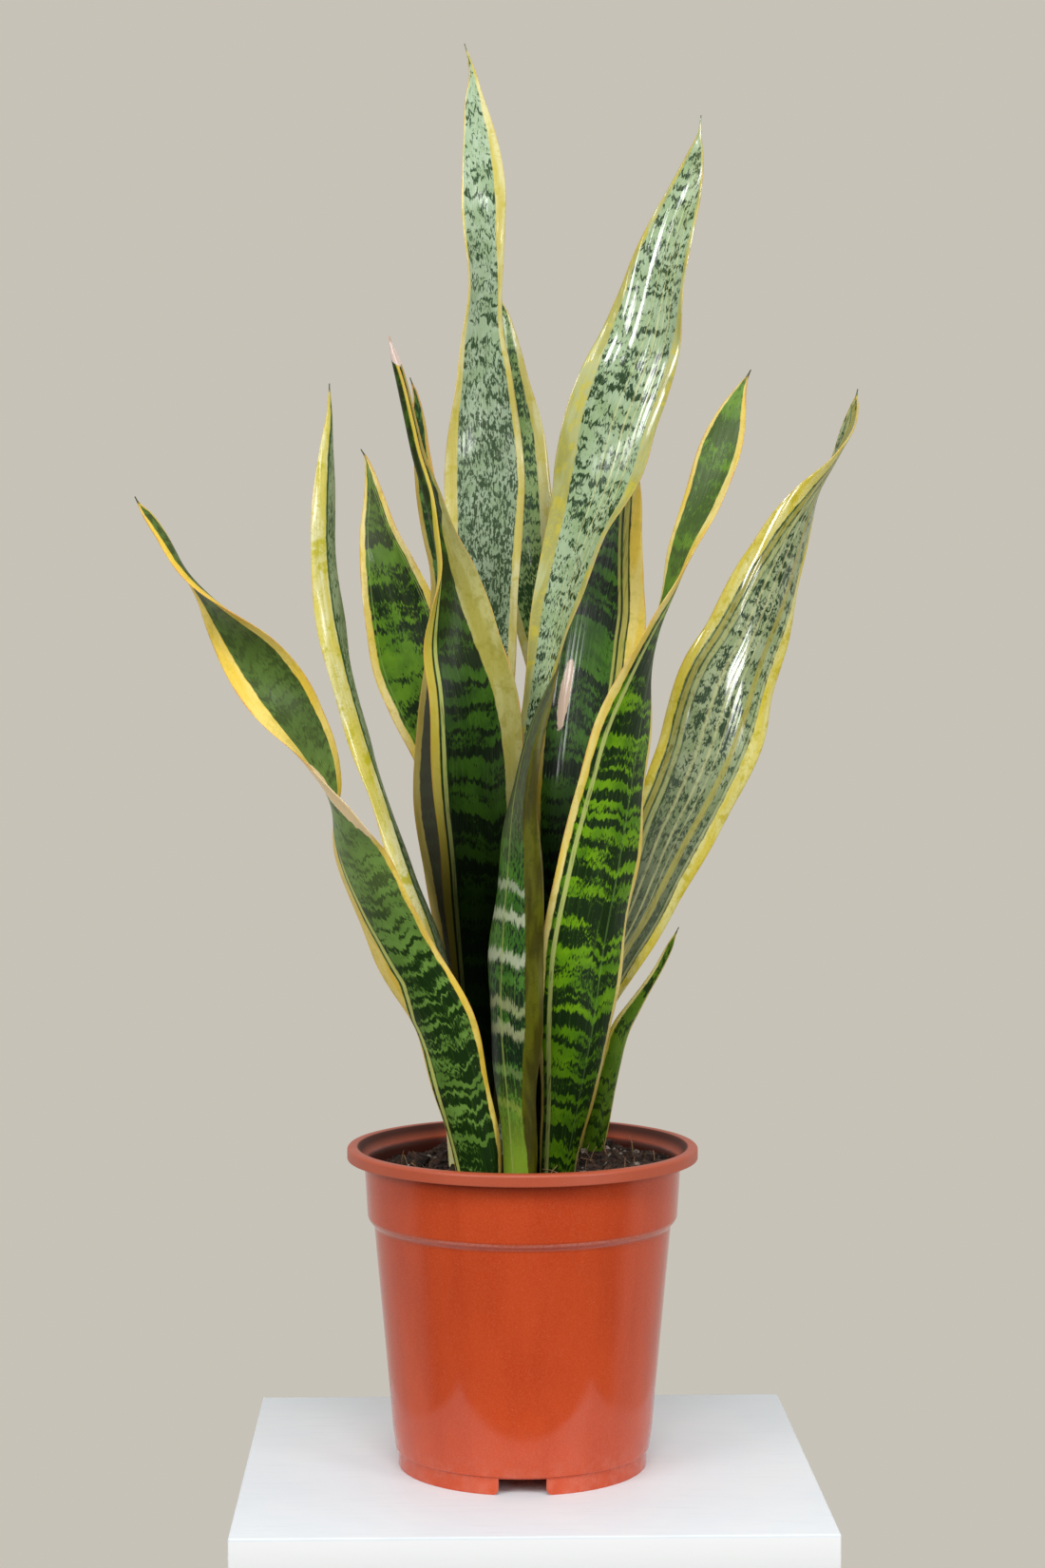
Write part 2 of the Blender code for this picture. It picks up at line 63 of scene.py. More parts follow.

# %% [markdown]
# ## Small helpers for node trees
#
# Both the shapes and the finishes below are node trees. Adding a node, filling its sockets and linking it
# takes several lines each time, so these helpers do it in one. A node's output is wrapped as a value that
# knows its tree, so that sums and products of values can be written as sums and products. Colours are
# given in the usual 0 to 255, and shaders want linear light, so one helper converts them.

# %% Helpers
class Value:
    """An output of a node. Python's own signs combine values by way of Math nodes."""

    def __init__(self, socket):
        self.socket = socket
        self.tree = socket.id_data

    def __add__(self, other):
        return calc("ADD", self, other)

    def __sub__(self, other):
        return calc("SUBTRACT", self, other)

    def __rsub__(self, other):
        return calc("SUBTRACT", other, self)

    def __mul__(self, other):
        return calc("MULTIPLY", self, other)

    def __truediv__(self, other):
        return calc("DIVIDE", self, other)

    def __abs__(self):
        return calc("ABSOLUTE", self)


def fill(node, inputs):
    """Fills a node's inputs, given by name or number. A value is linked, anything else is set."""
    for key, value in inputs.items():
        if isinstance(value, Value):
            node.id_data.links.new(value.socket, node.inputs[key])
        else:
            node.inputs[key].default_value = value


def add(kind, inputs, output=0, tree=None, **settings):
    """Adds a node to the tree that its inputs come from, or to a given one, and returns an output."""
    tree = tree or next(value.tree for value in inputs.values() if isinstance(value, Value))
    node = tree.nodes.new(kind)
    for key, value in settings.items():
        setattr(node, key, value)
    fill(node, inputs)
    return Value(node.outputs[output])


def calc(operation, *inputs):
    """The result of one Math node."""
    return add("ShaderNodeMath", dict(enumerate(inputs)), operation=operation)


def vector(x, y, z):
    """A vector from three values."""
    return add("ShaderNodeCombineXYZ", {0: x, 1: y, 2: z})


def split(place):
    """The three values of a vector."""
    return [Value(socket) for socket in add("ShaderNodeSeparateXYZ", {0: place}).socket.node.outputs]


def step(value, low, high, to_low=0.0, to_high=1.0):
    """A soft step: to_low below low, to_high above high, and smooth between them."""
    inputs = {"Value": value, "From Min": low, "From Max": high, "To Min": to_low, "To Max": to_high}
    return add("ShaderNodeMapRange", inputs, interpolation_type="SMOOTHSTEP")


def fall(value, low, high):
    """A soft step down: 1 below low and 0 above high."""
    return step(value, low, high, 1.0, 0.0)


def noise(place, scale, detail=2.0, roughness=0.5):
    """A cloudy value between 0 and 1 at a place."""
    inputs = {"Vector": place, "Scale": scale, "Detail": detail, "Roughness": roughness}
    return add("ShaderNodeTexNoise", inputs, noise_dimensions="3D")


def linear(red, green, blue):
    """A colour given in 0 to 255 as linear light, with an alpha of 1."""
    shares = [value / 255 for value in (red, green, blue)]
    return (*[s / 12.92 if s <= 0.04045 else ((s + 0.055) / 1.055) ** 2.4 for s in shares], 1.0)


def mix(share, *colours):
    """A colour between two colours, which are values or are given in 0 to 255."""
    first, second = (colour if isinstance(colour, Value) else linear(*colour) for colour in colours)
    return add("ShaderNodeMix", {0: share, 6: first, 7: second}, 2, data_type="RGBA")


def bump(height, strength, distance):
    """The normal of a surface that a height makes rough."""
    return add("ShaderNodeBump", {"Strength": strength, "Distance": distance, "Height": height})


def stretched(place, scale):
    """A place with its axes scaled, which stretches the noise that reads it."""
    return add("ShaderNodeMapping", {"Vector": place, "Scale": scale})


def new_finish(name):
    """A material, its Principled shader and the place on the object that is shaded."""
    finish = bpy.data.materials.new(name)
    finish.use_nodes = True
    tree = finish.node_tree
    return finish, tree.nodes["Principled BSDF"], add("ShaderNodeTexCoord", {}, "Object", tree)


def placed(name, data):
    """A new object in the scene."""
    piece = bpy.data.objects.new(name, data)
    bpy.context.scene.collection.objects.link(piece)
    return piece


print("yellow of the leaf edges in linear light:", [round(v, 3) for v in linear(235, 205, 100)])

# %% [markdown]
# ## The leaves' paths
#
# A real leaf grows from its foot upwards as one long blade. Its middle line wanders, its width swells and
# narrows, the blade turns about its own line, and its channel is deep at the foot and shallow above.
# So a leaf is written down as stations up its middle line. Each station is its height, x, y and the width
# along the curved blade in millimetres, then the blade's turn about the vertical and the bend of its
# channel in degrees. They are the stations of the CAD leaves, so each blade fits its solid.

# %% The stations
LEAVES = {
    "leaf_front_centre": [
        (151, -1, -47, 21, 0, -150), (186, -2, -50, 24, -8, -130), (225, -4, -52, 27, -20, -105),
        (270, -6, -53, 40, -32, -88), (325, -5, -55, 40, -35, -80), (360, -3, -57, 36, -40, -72),
        (400, -1, -59, 26.5, -52, -68), (440, 7, -61, 18.5, -58, -60), (465, 16, -62, 8, -55, -50),
        (473, 19, -62, 2.4, -50, -30), (481, 22, -63, 1.4, -50, -30),
    ],
    "leaf_front_left": [
        (151, -23, -38, 24, 0, -140), (186, -26, -43, 33, 0, -120), (225, -34, -52, 36, -3, -95),
        (271, -46, -63, 40, -10, -75), (316, -71, -73, 46, -28, -65), (345, -85, -81, 53, -42, -66),
        (375, -96, -91, 54, -55, -74), (404, -104, -102, 51, -84, -80),
        (430, -116, -111, 44.5, -118, -70), (450, -128, -116, 41, -140, -58),
        (472, -142, -121, 38, -168, -52), (492, -156, -126, 35.5, -203, -52),
        (510, -170, -131, 31, -236, -52), (531, -187, -134, 18, -272, -52),
        (552, -199, -137, 10, -305, -50), (562, -206, -139, 6, -318, -40),
        (567, -210, -139, 2.2, -322, -30), (571, -212, -140, 1.4, -322, -30),
    ],
    "leaf_front_right": [
        (151, 19, -38, 23, 0, -140), (184, 21, -40, 26, 0, -130), (223, 26, -42, 35, 5, -100),
        (268, 32, -43, 49, 15, -80), (313, 37, -44, 57, 25, -65), (357, 45, -47, 57, 28, -60),
        (402, 53, -50, 54, 35, -55), (446, 61, -54, 50, 48, -52), (475, 68, -57, 43, 62, -52),
        (500, 76, -59, 39, 82, -52), (523, 85, -61, 32, 101, -52), (545, 92, -63, 27.5, 119, -50),
        (576, 105, -65, 27.5, 146, -45), (604, 114, -67, 26, 155, -40), (626, 121, -69, 14.5, 160, -35),
        (639, 126, -70, 4.5, 160, -30), (647, 130, -71, 1.4, 160, -30),
    ],
    "leaf_centre_left": [
        (151, -24, -11, 24, 0, 140), (180, -25, -14, 25, 0, 135), (219, -25, -15, 29, 0, 120),
        (265, -24, -16, 35, 0, 95), (310, -24, -17, 42, 0, 75), (355, -24, -18, 49, 0, 60),
        (400, -26, -19, 54, 0, 50), (430, -27, -19, 56, 3, 48), (468, -31, -21, 54, 9, 58),
        (490, -36, -21, 51, 16, 75), (512, -39, -22, 45.5, 29, 98), (535, -42, -22, 36, 46, 130),
        (557, -48, -23, 27, 61, 160), (579, -54, -24, 22, 72, 180), (601, -61, -24, 17, 78, 185),
        (623, -66, -25, 15.5, 80, 180), (645, -71, -25, 14, 80, 160), (660, -75, -26, 9, 75, 120),
        (667, -77, -26, 4.5, 70, 80), (671, -78, -26, 2.4, 70, 60),
    ],
    "leaf_inner_left": [
        (151, -30, 20, 22, 0, 130), (178, -30, 20, 23, 0, 120), (237, -32, 20, 27, -10, 95),
        (307, -37, 19, 30, -20, 75), (353, -44, 18, 33, -26, 65), (399, -51, 17, 34, -32, 60),
        (445, -50, 15, 31, -36, 60), (490, -47, 13, 25, -36, 60), (536, -47, 11, 19, -30, 60),
        (560, -52, 10, 18, -22, 55), (582, -57, 9, 14, -15, 50), (604, -60, 8, 10.5, -10, 45),
        (626, -62, 6, 7.5, -5, 40), (641, -64, 5, 3, 0, 30), (650, -67, 5, 1.4, 0, 30),
    ],
    "leaf_slender_left": [
        (151, -35, 4, 19, 15, -130), (176, -35, 3, 20, 22, -120), (217, -38, 2, 22, 38, -105),
        (263, -43, 1, 25, 54, -88), (309, -52, 0, 28, 66, -72), (354, -69, 0, 29, 70, -62),
        (400, -85, -1, 27, 71, -60), (445, -99, -3, 28, 66, -60), (490, -110, -4, 30, 61, -60),
        (535, -116, -6, 28, 58, -55), (569, -117, -7, 23.5, 58, -50), (591, -116, -8, 18.5, 57, -50),
        (613, -115, -9, 11, 57, -45), (627, -114, -9, 5, 57, -40), (636, -114, -10, 2.2, 57, -30),
        (645, -114, -10, 1.4, 57, -30),
    ],
    "leaf_back_left": [
        (151, -26, 48, 22, 0, 130), (175, -26, 48, 24, 0, 120), (234, -28, 47, 29, 0, 95),
        (304, -32, 46, 34, 0, 75), (374, -37, 47, 38, -5, 60), (421, -45, 48, 41, -8, 50),
        (455, -59, 49, 47, -10, 45), (480, -67, 50, 51, -10, 42), (505, -73, 51, 48, -10, 42),
        (538, -82, 51, 37, -14, 42), (561, -88, 52, 25.5, -20, 40), (583, -91, 52, 13.5, -25, 35),
        (599, -94, 52, 5.5, -25, 30), (606, -96, 52, 2.4, -25, 30), (611, -99, 52, 1.4, -25, 30),
    ],
    "leaf_tall_centre": [
        (151, -6, 31, 20, 0, 140), (172, -7, 30, 22, 0, 130), (236, -11, 30, 27, 0, 100),
        (306, -17, 31, 32, 0, 75), (375, -22, 33, 36, 0, 60), (445, -25, 35, 40, 3, 50),
        (513, -25, 37, 45, 5, 42), (560, -24, 38, 48, 2, 40), (591, -23, 39, 50, 8, 38),
        (629, -24, 40, 46, 22, 38), (651, -24, 40, 43, 36, 40), (682, -25, 40, 39.5, 53, 42),
        (709, -24, 40, 37, 54, 42), (743, -24, 40, 32, 40, 40), (773, -24, 39, 27, 10, 38),
        (799, -26, 38, 20, 0, 36), (821, -29, 37, 11.5, 0, 34), (835, -30, 36, 4.5, 0, 30),
        (843, -32, 35, 2.2, 0, 30), (853, -35, 34, 1.4, 0, 30),
    ],
    "leaf_behind_tall": [
        (151, 8, 57, 20, 0, 140), (175, 8, 57, 22, 0, 130), (240, 9, 58, 26, 0, 100),
        (300, 11, 58, 29, 0, 80), (380, 15, 59, 32, 0, 65), (440, 19, 61, 32, 5, 55),
        (467, 19, 61, 32, 10, 52), (490, 15, 62, 33, 14, 50), (514, 9, 63, 35, 18, 46),
        (549, 3, 64, 38, 20, 42), (584, 0, 65, 37.5, 20, 40), (622, -3, 66, 34, 20, 40),
        (655, -8, 66, 24.5, 20, 38), (678, -10, 66, 16, 20, 36), (696, -12, 66, 6.5, 20, 32),
        (702, -13, 66, 2.4, 20, 30), (708, -13, 66, 1.4, 20, 30),
    ],
    "leaf_tall_right": [
        (151, -2, 4, 18, 0, 140), (178, -2, 4, 19, 0, 130), (240, -3, 4, 18, 0, 125),
        (308, -3, 3, 17, 0, 125), (370, -3, 2, 16.5, -5, 125), (415, 2, 0, 16.5, -12, 122),
        (445, 6, -1, 17, -18, 118), (468, 10, -2, 20, -21, 108), (490, 15, -3, 26, -25, 90),
        (513, 20, -4, 32.5, -29, 75), (535, 26, -5, 39, -36, 62), (557, 33, -6, 47, -37, 52),
        (580, 41, -6, 53, -28, 45), (602, 47, -7, 56, -15, 42), (625, 53, -7, 56, -6, 40),
        (646, 61, -8, 55, -6, 40), (669, 70, -8, 52, -21, 42), (692, 76, -9, 47, -31, 42),
        (713, 81, -9, 40, -30, 42), (736, 88, -10, 30, -25, 40), (758, 96, -10, 20.5, -15, 40),
        (780, 102, -10, 9.5, -10, 36), (791, 104, -10, 2.6, -10, 30), (802, 105, -10, 1.4, -10, 30),
    ],
    "leaf_middle_right": [
        (151, 12, -14, 20, 0, 130), (178, 12, -14, 21, 0, 125), (215, 15, -10, 25, 2, 110),
        (280, 22, 0, 36, 5, 82), (330, 27, 8, 44, 8, 68), (375, 31, 14, 52, 10, 58),
        (421, 35, 21, 57, 12, 50), (467, 41, 27, 60, 12, 48), (495, 45, 28, 59, 12, 46),
        (514, 48, 29, 56, 12, 45), (536, 53, 29, 43, 12, 44), (559, 57, 30, 32, 12, 42),
        (582, 61, 31, 23, 12, 40), (602, 64, 31, 11, 12, 36), (612, 65, 32, 4, 12, 30),
        (620, 66, 32, 1.4, 12, 30),
    ],
    "leaf_far_right": [
        (151, 21, 15, 20, 10, -140), (175, 22, 18, 21, 10, -130), (213, 27, 27, 22, 10, -110),
        (236, 32, 33, 22, 10, -98), (258, 38, 39, 24, 10, -85), (281, 48, 44, 30, 9, -75),
        (304, 59, 50, 36, 8, -68), (327, 71, 57, 43, 8, -60), (350, 81, 65, 49, 8, -55),
        (373, 91, 72, 55, 8, -50), (396, 103, 79, 59, 8, -48), (420, 114, 86, 63, 8, -46),
        (443, 122, 93, 67, 10, -45), (467, 130, 100, 66, 15, -45), (491, 141, 107, 60, 22, -45),
        (515, 151, 113, 57.5, 29, -45), (539, 161, 120, 53, 36, -45), (563, 171, 124, 45, 44, -45),
        (588, 184, 128, 32, 57, -45), (612, 200, 133, 21, 88, -45), (634, 210, 136, 13, 128, -45),
        (646, 213, 138, 6, 135, -40), (651, 214, 139, 2.4, 135, -30), (656, 215, 140, 1.4, 135, -30),
    ],
    "leaf_small_right": [
        (151, 38, 39, 17, 10, -110), (172, 41, 38, 18, 10, -100), (212, 48, 36, 16.5, 10, -85),
        (235, 54, 35, 14.5, 10, -80), (259, 61, 33, 12.5, 10, -75), (271, 68, 32, 9.5, 10, -68),
        (282, 75, 31, 7, 10, -60), (295, 83, 30, 5.5, 10, -55), (307, 89, 29, 4.4, 10, -50),
        (314, 92, 28, 2.4, 10, -40), (320, 95, 28, 1.4, 10, -30),
    ],
}
print("leaves:", len(LEAVES), "stations:", sum(len(stations) for stations in LEAVES.values()))

# %% [markdown]
# ## The yellow edges
#
# The plant's best known mark is the yellow edge of its leaves. It is never the same width on both sides,
# and it swells and thins on its way up. So each leaf also gets a short list of heights with the width of
# its yellow edge on the left and on the right, in millimetres along the blade.

# %% Widths of the yellow edges
EDGES = {
    "leaf_front_centre": [(160, 1, 6), (250, 1, 10), (360, 1, 11), (430, 1, 6), (481, 0, 0)],
    "leaf_front_left": [
        (170, 1.5, 4.2), (278, 1.5, 3.8), (300, 12, 3.2), (345, 15, 2.8), (390, 12, 3), (404, 6, 6),
        (430, 5, 9), (472, 5, 9), (510, 5, 7), (531, 3.5, 4.5), (552, 2, 3.2), (571, 0, 0),
    ],
    "leaf_front_right": [
        (170, 2.5, 3), (270, 3.5, 4), (400, 4.4, 4.5), (470, 5.4, 4), (523, 5, 3), (576, 5, 3),
        (626, 2.6, 1.6), (647, 0, 0),
    ],
    "leaf_centre_left": [
        (170, 3, 5), (300, 4, 7), (400, 5, 10), (468, 5.5, 15), (512, 5.5, 18), (535, 5.5, 16),
        (557, 4, 9), (568, 2.5, 4), (579, 1.6, 1.8), (623, 1.4, 1.6), (660, 1, 1.2), (671, 0.6, 0.6),
    ],
    "leaf_inner_left": [(170, 2, 2), (353, 5, 3), (445, 4, 3), (536, 3, 3), (604, 2, 2), (650, 0, 0)],
    "leaf_slender_left": [
        (170, 6, 1.5), (300, 10, 1.5), (400, 12, 1.5), (490, 13, 1.5), (569, 10, 1.5), (613, 4.5, 1),
        (645, 0, 0),
    ],
    "leaf_back_left": [
        (170, 3, 3), (374, 5, 4), (455, 5, 5), (505, 4.5, 5), (561, 3.5, 4), (599, 1.4, 2), (611, 0, 0),
    ],
    "leaf_tall_centre": [
        (170, 4, 4), (400, 7, 5), (500, 9, 5), (591, 8, 4.5), (651, 5, 4), (709, 2, 4.5),
        (743, 1.2, 6.5), (773, 1, 7), (799, 0.8, 5), (821, 0.7, 2.6), (853, 0, 0),
    ],
    "leaf_behind_tall": [
        (170, 4, 5), (440, 5, 8), (549, 5, 9.5), (622, 4, 7), (678, 3, 3.2), (708, 0, 0),
    ],
    "leaf_tall_right": [
        (170, 3, 2), (445, 4, 2), (513, 7, 3.5), (557, 10, 4.5), (602, 12, 7), (646, 9, 7), (669, 6, 6),
        (692, 4.5, 3.5), (713, 3.4, 2.2), (758, 2.4, 1.8), (791, 1, 0.8), (802, 0, 0),
    ],
    "leaf_middle_right": [
        (170, 3, 4), (330, 4, 7), (421, 4, 10), (495, 4, 11), (536, 3, 9), (582, 3, 6), (612, 1, 2),
        (620, 0, 0),
    ],
    "leaf_far_right": [
        (170, 3, 3), (304, 5, 6), (396, 6, 9), (443, 6, 10), (491, 6.5, 8.5), (539, 9, 5.5),
        (563, 9.5, 4), (588, 9, 3.5), (612, 5, 2), (622, 2, 1), (634, 1, 0.8), (656, 0, 0),
    ],
    "leaf_small_right": [(151, 2.6, 1.5), (235, 3, 1.4), (295, 1.6, 1), (320, 0, 0)],
}
widest = max(max(left, right) for rows in EDGES.values() for _, left, right in rows)
print("widest yellow edge:", widest, "mm")

# %% [markdown]
# ## From stations to a path
#
# Straight runs between stations would kink, so a smooth curve is read through them with cubic pieces whose
# slope at each station is a mean of the slopes on both sides. The path becomes a mesh of points only. It
# carries the blade's numbers as attributes, so that a node tree can build the blade from them later. A
# snake plant's leaf ends in a narrow point, so the last millimetres are narrowed further. One more point
# with hardly any width closes the blade at its foot, and another one at its tip.

# %% Reading the path
ROW_STEP = 2.8
FOOT_THICKNESS, TOP_THICKNESS, EDGE_THICKNESS = 4.6, 2.6, 1.0
USUAL_SHARE, LARGEST_SHARE = 0.3, 0.8
POINT_LENGTH, POINT_SHARE = 9.0, 0.4
WAVY_WIDTH = 30.0
CLOSED_WIDTH = 0.001


def read_curve(knots, values, places):
    """Reads a smooth curve through values at knots."""
    spans = np.diff(knots)
    chords = np.diff(values, axis=0) / spans[:, None]
    share = (spans[:-1] / (spans[:-1] + spans[1:]))[:, None]
    slopes = np.vstack([chords[:1], chords[:-1] * (1 - share) + chords[1:] * share, chords[-1:]])
    span = np.clip(np.searchsorted(knots, places, side="right") - 1, 0, len(spans) - 1)
    length = spans[span][:, None]
    t = (places[:, None] - knots[span][:, None]) / length
    start = values[span] * (1 + 2 * t) * (1 - t) ** 2 + slopes[span] * length * t * (1 - t) ** 2
    end = values[span + 1] * t**2 * (3 - 2 * t) + slopes[span + 1] * length * t**2 * (t - 1)
    return start + end


def unit(rows):
    """Rows of vectors, each of length 1."""
    return rows / np.linalg.norm(rows, axis=1)[:, None]


def path_numbers(name):
    """Everything that the blade needs at each point of its path, by attribute name."""
    table = np.array(LEAVES[name], float)[:, [1, 2, 0, 3, 4, 5]]
    knots = np.concatenate([[0.0], np.cumsum(np.linalg.norm(np.diff(table[:, :3], axis=0), axis=1))])
    places = np.linspace(0.0, knots[-1], round(knots[-1] / ROW_STEP) + 1)
    rows = read_curve(knots, table, places)
    centre, width, turn, bend = rows[:, :3], rows[:, 3], np.radians(rows[:, 4]), np.radians(rows[:, 5])
    tangent = unit(np.gradient(centre, axis=0))
    side = np.stack([np.cos(turn), np.sin(turn), 0 * turn], axis=1)
    side = unit(side - tangent * (side * tangent).sum(axis=1)[:, None])
    share, to_tip = places / knots[-1], knots[-1] - places
    width = width * np.clip(to_tip / POINT_LENGTH, POINT_SHARE, 1.0)
    thickness = FOOT_THICKNESS + (TOP_THICKNESS - FOOT_THICKNESS) * np.sqrt(share)
    thickness = np.maximum(EDGE_THICKNESS, np.minimum(thickness, USUAL_SHARE * width))
    heights, left, right = np.array(EDGES[name]).T
    return dict(
        centre=centre, side=side, front=np.cross(side, tangent),
        width=width, bend=bend, thickness=np.minimum(thickness, LARGEST_SHARE * width),
        swell=np.minimum(1.0, width / WAVY_WIDTH) * np.sin(np.pi * share) ** 0.5,
        along=places, to_tip=to_tip, phase=np.full(len(places), table[0, 0] + table[0, 1]),
        left_edge=np.interp(centre[:, 2], heights, left),
        right_edge=np.interp(centre[:, 2], heights, right),
    )


def closed_ends(numbers):
    """The same numbers with a point of hardly any width and no thickness added at each end."""
    ended = {key: np.concatenate([rows[:1], rows, rows[-1:]]) for key, rows in numbers.items()}
    for key, value in {"width": CLOSED_WIDTH, "thickness": 0.0, "swell": 0.0}.items():
        ended[key][[0, -1]] = value
    return ended


def path_object(name):
    """A mesh of points that carries the path's numbers as attributes."""
    numbers = closed_ends(path_numbers(name))
    centre = numbers.pop("centre") * MM
    mesh = bpy.data.meshes.new(name + "_path")
    mesh.from_pydata(centre.tolist(), [(k, k + 1) for k in range(len(centre) - 1)], [])
    for key, rows in numbers.items():
        flat = rows.ndim == 1
        attribute = mesh.attributes.new(key, "FLOAT" if flat else "FLOAT_VECTOR", "POINT")
        attribute.data.foreach_set("value" if flat else "vector", rows.astype(np.float32).ravel())
    return placed(name + "_path", mesh)


longest = max(LEAVES, key=lambda name: path_numbers(name)["along"][-1])
print("longest leaf:", longest, round(path_numbers(longest)["along"][-1]), "mm")

# %% [markdown]
# ## The blade as a node tree
#
# All blades follow one rule, so Geometry Nodes build them. A grid has one row for each point of the path
# and one column for each place round the blade's section. The section is an arc, thick in the middle and
# thin at its edges, and it is closed, so its first and last columns fall on each other and are merged.
# The blade's edges also wave a little, as real ones do. The tree stores what the finish needs at each
# point: how far it is from each edge, from the foot and from the tip in millimetres, and its side.

# %% Building the blade's tree
CENTRE_SHARE = 0.4
WAVE_SLANT, WAVE_POWER = 1.7, 3.0
FACE_SLOPE = 3.0


def at_row(path, value, row, kind):
    """A value of the path's points at a row."""
    inputs = {"Geometry": path, "Value": value, "Index": row}
    return add("GeometryNodeSampleIndex", inputs, "Value", data_type=kind, domain="POINT")


def sampled(path, row, kind, *keys):
    """Some of the path's attributes at a row."""
    for key in keys:
        inputs = {"Name": key}
        found = add("GeometryNodeInputNamedAttribute", inputs, "Attribute", path.tree, data_type=kind)
        yield at_row(path, found, row, kind)


def scaled(direction, amount):
    """A direction times an amount."""
    return add("ShaderNodeVectorMath", {0: direction, "Scale": amount}, operation="SCALE")


def total(result, *parts):
    """The sum of several vectors."""
    for part in parts:
        result = add("ShaderNodeVectorMath", {0: result, 1: part}, operation="ADD")
    return result


def new_tree(name, sockets):
    """A Geometry Nodes tree with a geometry input and more named inputs, and the values of its inputs."""
    tree = bpy.data.node_groups.new(name, "GeometryNodeTree")
    for label, (kind, value) in {"Geometry": ("Geometry", None), **sockets}.items():
        socket = tree.interface.new_socket(label, in_out="INPUT", socket_type="NodeSocket" + kind)
        if value is not None:
            socket.default_value = value
    tree.interface.new_socket("Geometry", in_out="OUTPUT", socket_type="NodeSocketGeometry")
    return tree, {socket.name: Value(socket) for socket in tree.nodes.new("NodeGroupInput").outputs}


def real(geometry):
    """The geometry with its instances made real."""
    return add("GeometryNodeRealizeInstances", {0: geometry})


def painted(geometry, finish):
    """The geometry with a finish."""
    return add("GeometryNodeSetMaterial", {"Geometry": geometry, "Material": finish})


def shaded(geometry, smooth):
    """The geometry with smooth or flat faces."""
    return add("GeometryNodeSetShadeSmooth", {"Geometry": geometry, "Shade Smooth": smooth})


def blade_tree():
    """The tree that turns a path into a closed blade."""
    tree, given = new_tree("leaf_blade", {
        "Columns": ("Int", 48),
        "Edge Thickness": ("Float", EDGE_THICKNESS),
        "Wave Height": ("Float", 1.3),
        "Wave Length": ("Float", 74.0),
        "Finish": ("Material", None),
    })
    path, columns = given["Geometry"], given["Columns"]
    count = add("GeometryNodeAttributeDomainSize", {0: path}, "Point Count", component="MESH")
    round_count = columns + 1.0
    grid = add("GeometryNodeMeshGrid", {"Vertices X": count, "Vertices Y": round_count}, "Mesh")
    index = add("GeometryNodeInputIndex", {}, tree=tree)
    row = calc("FLOOR", (index + 0.5) / round_count)
    angle = (index - row * round_count) * math.tau / columns
    place = calc("COSINE", angle)
    width, bend, thickness, swell, phase = sampled(
        path, row, "FLOAT", "width", "bend", "thickness", "swell", "phase")
    along, to_tip, left_edge, right_edge = sampled(
        path, row, "FLOAT", "along", "to_tip", "left_edge", "right_edge")
    side, front = sampled(path, row, "FLOAT_VECTOR", "side", "front")
    centre = at_row(path, add("GeometryNodeInputPosition", {}, tree=tree), row, "FLOAT_VECTOR")

    half_bend, half_width = bend / 2.0, width / 2.0
    radius, lean = half_width / half_bend, half_bend * place
    sine, cosine = calc("SINE", lean), calc("COSINE", lean)
    depth = radius * (1.0 - cosine - (1.0 - calc("COSINE", half_bend)) * CENTRE_SHARE)
    turn = along * math.tau / given["Wave Length"] + phase + place * WAVE_SLANT
    wave = swell * given["Wave Height"] * calc("POWER", abs(place), WAVE_POWER) * calc("SINE", turn)
    thin = calc("MINIMUM", given["Edge Thickness"], thickness)
    thick = (thickness - thin) * (1.0 - place * place) + thin
    face = calc("MAXIMUM", calc("MINIMUM", calc("SINE", angle) * FACE_SLOPE, 1.0), -1.0)
    skin = total(scaled(front, cosine), scaled(side, sine * -1.0))
    lift = scaled(skin, wave + thick / 2.0 * face)
    shift = total(scaled(side, radius * sine), scaled(front, depth), lift)
    blade = add("GeometryNodeSetPosition", {"Geometry": grid, "Position": total(centre, scaled(shift, MM))})
    from_middle = place * half_width
    from_left, from_right = half_width + from_middle, half_width - from_middle
    stored = dict(
        place=place, face=face, along=along, to_tip=to_tip,
        from_middle=from_middle, from_left=from_left, from_right=from_right,
        inside_left=from_left - left_edge, inside_right=from_right - right_edge,
    )
    for key, value in stored.items():
        inputs = {"Geometry": blade, "Name": key, "Value": value}
        blade = add("GeometryNodeStoreNamedAttribute", inputs, data_type="FLOAT", domain="POINT")
    blade = add("GeometryNodeMergeByDistance", {"Geometry": blade, "Distance": 0.02 * MM})
    fill(tree.nodes.new("NodeGroupOutput"), {0: painted(real(shaded(blade, True)), given["Finish"])})
    return tree


BLADE = blade_tree()
print("blade tree:", len(BLADE.nodes), "nodes")

# %% [markdown]
# ## Running a tree
#
# A tree runs as a modifier. Its inputs are set by each socket's own identifier. The result is then read
# from the evaluated object as a plain mesh, so that nothing live is left on the finished piece. Whether the
# faces look outwards is measured too: a closed mesh whose faces point out has a volume above zero.

# %% Running a tree
def result_of(source):
    """What an object's modifiers make of it, as a plain mesh."""
    graph = bpy.context.evaluated_depsgraph_get()
    return bpy.data.meshes.new_from_object(source.evaluated_get(graph), depsgraph=graph)


def grow(source, tree, name, inputs):
    """Runs a tree on a source object and returns the result as a plain object. The source is removed."""
    modifier = source.modifiers.new(tree.name, "NODES")
    modifier.node_group = tree
    for item in tree.interface.items_tree:
        if item.in_out == "INPUT" and item.name in inputs:
            modifier[item.identifier] = inputs[item.name]
    mesh = result_of(source)
    bpy.data.objects.remove(source)
    mesh.name = name
    return placed(name, mesh)


def check_outwards(piece):
    """Turns a closed piece's faces round if they look inwards, and returns its volume in cm3."""
    shape = bmesh.new()
    shape.from_mesh(piece.data)
    volume = shape.calc_volume(signed=True)
    shape.free()
    if volume < 0:
        piece.data.flip_normals()
    return abs(volume) * 1e6


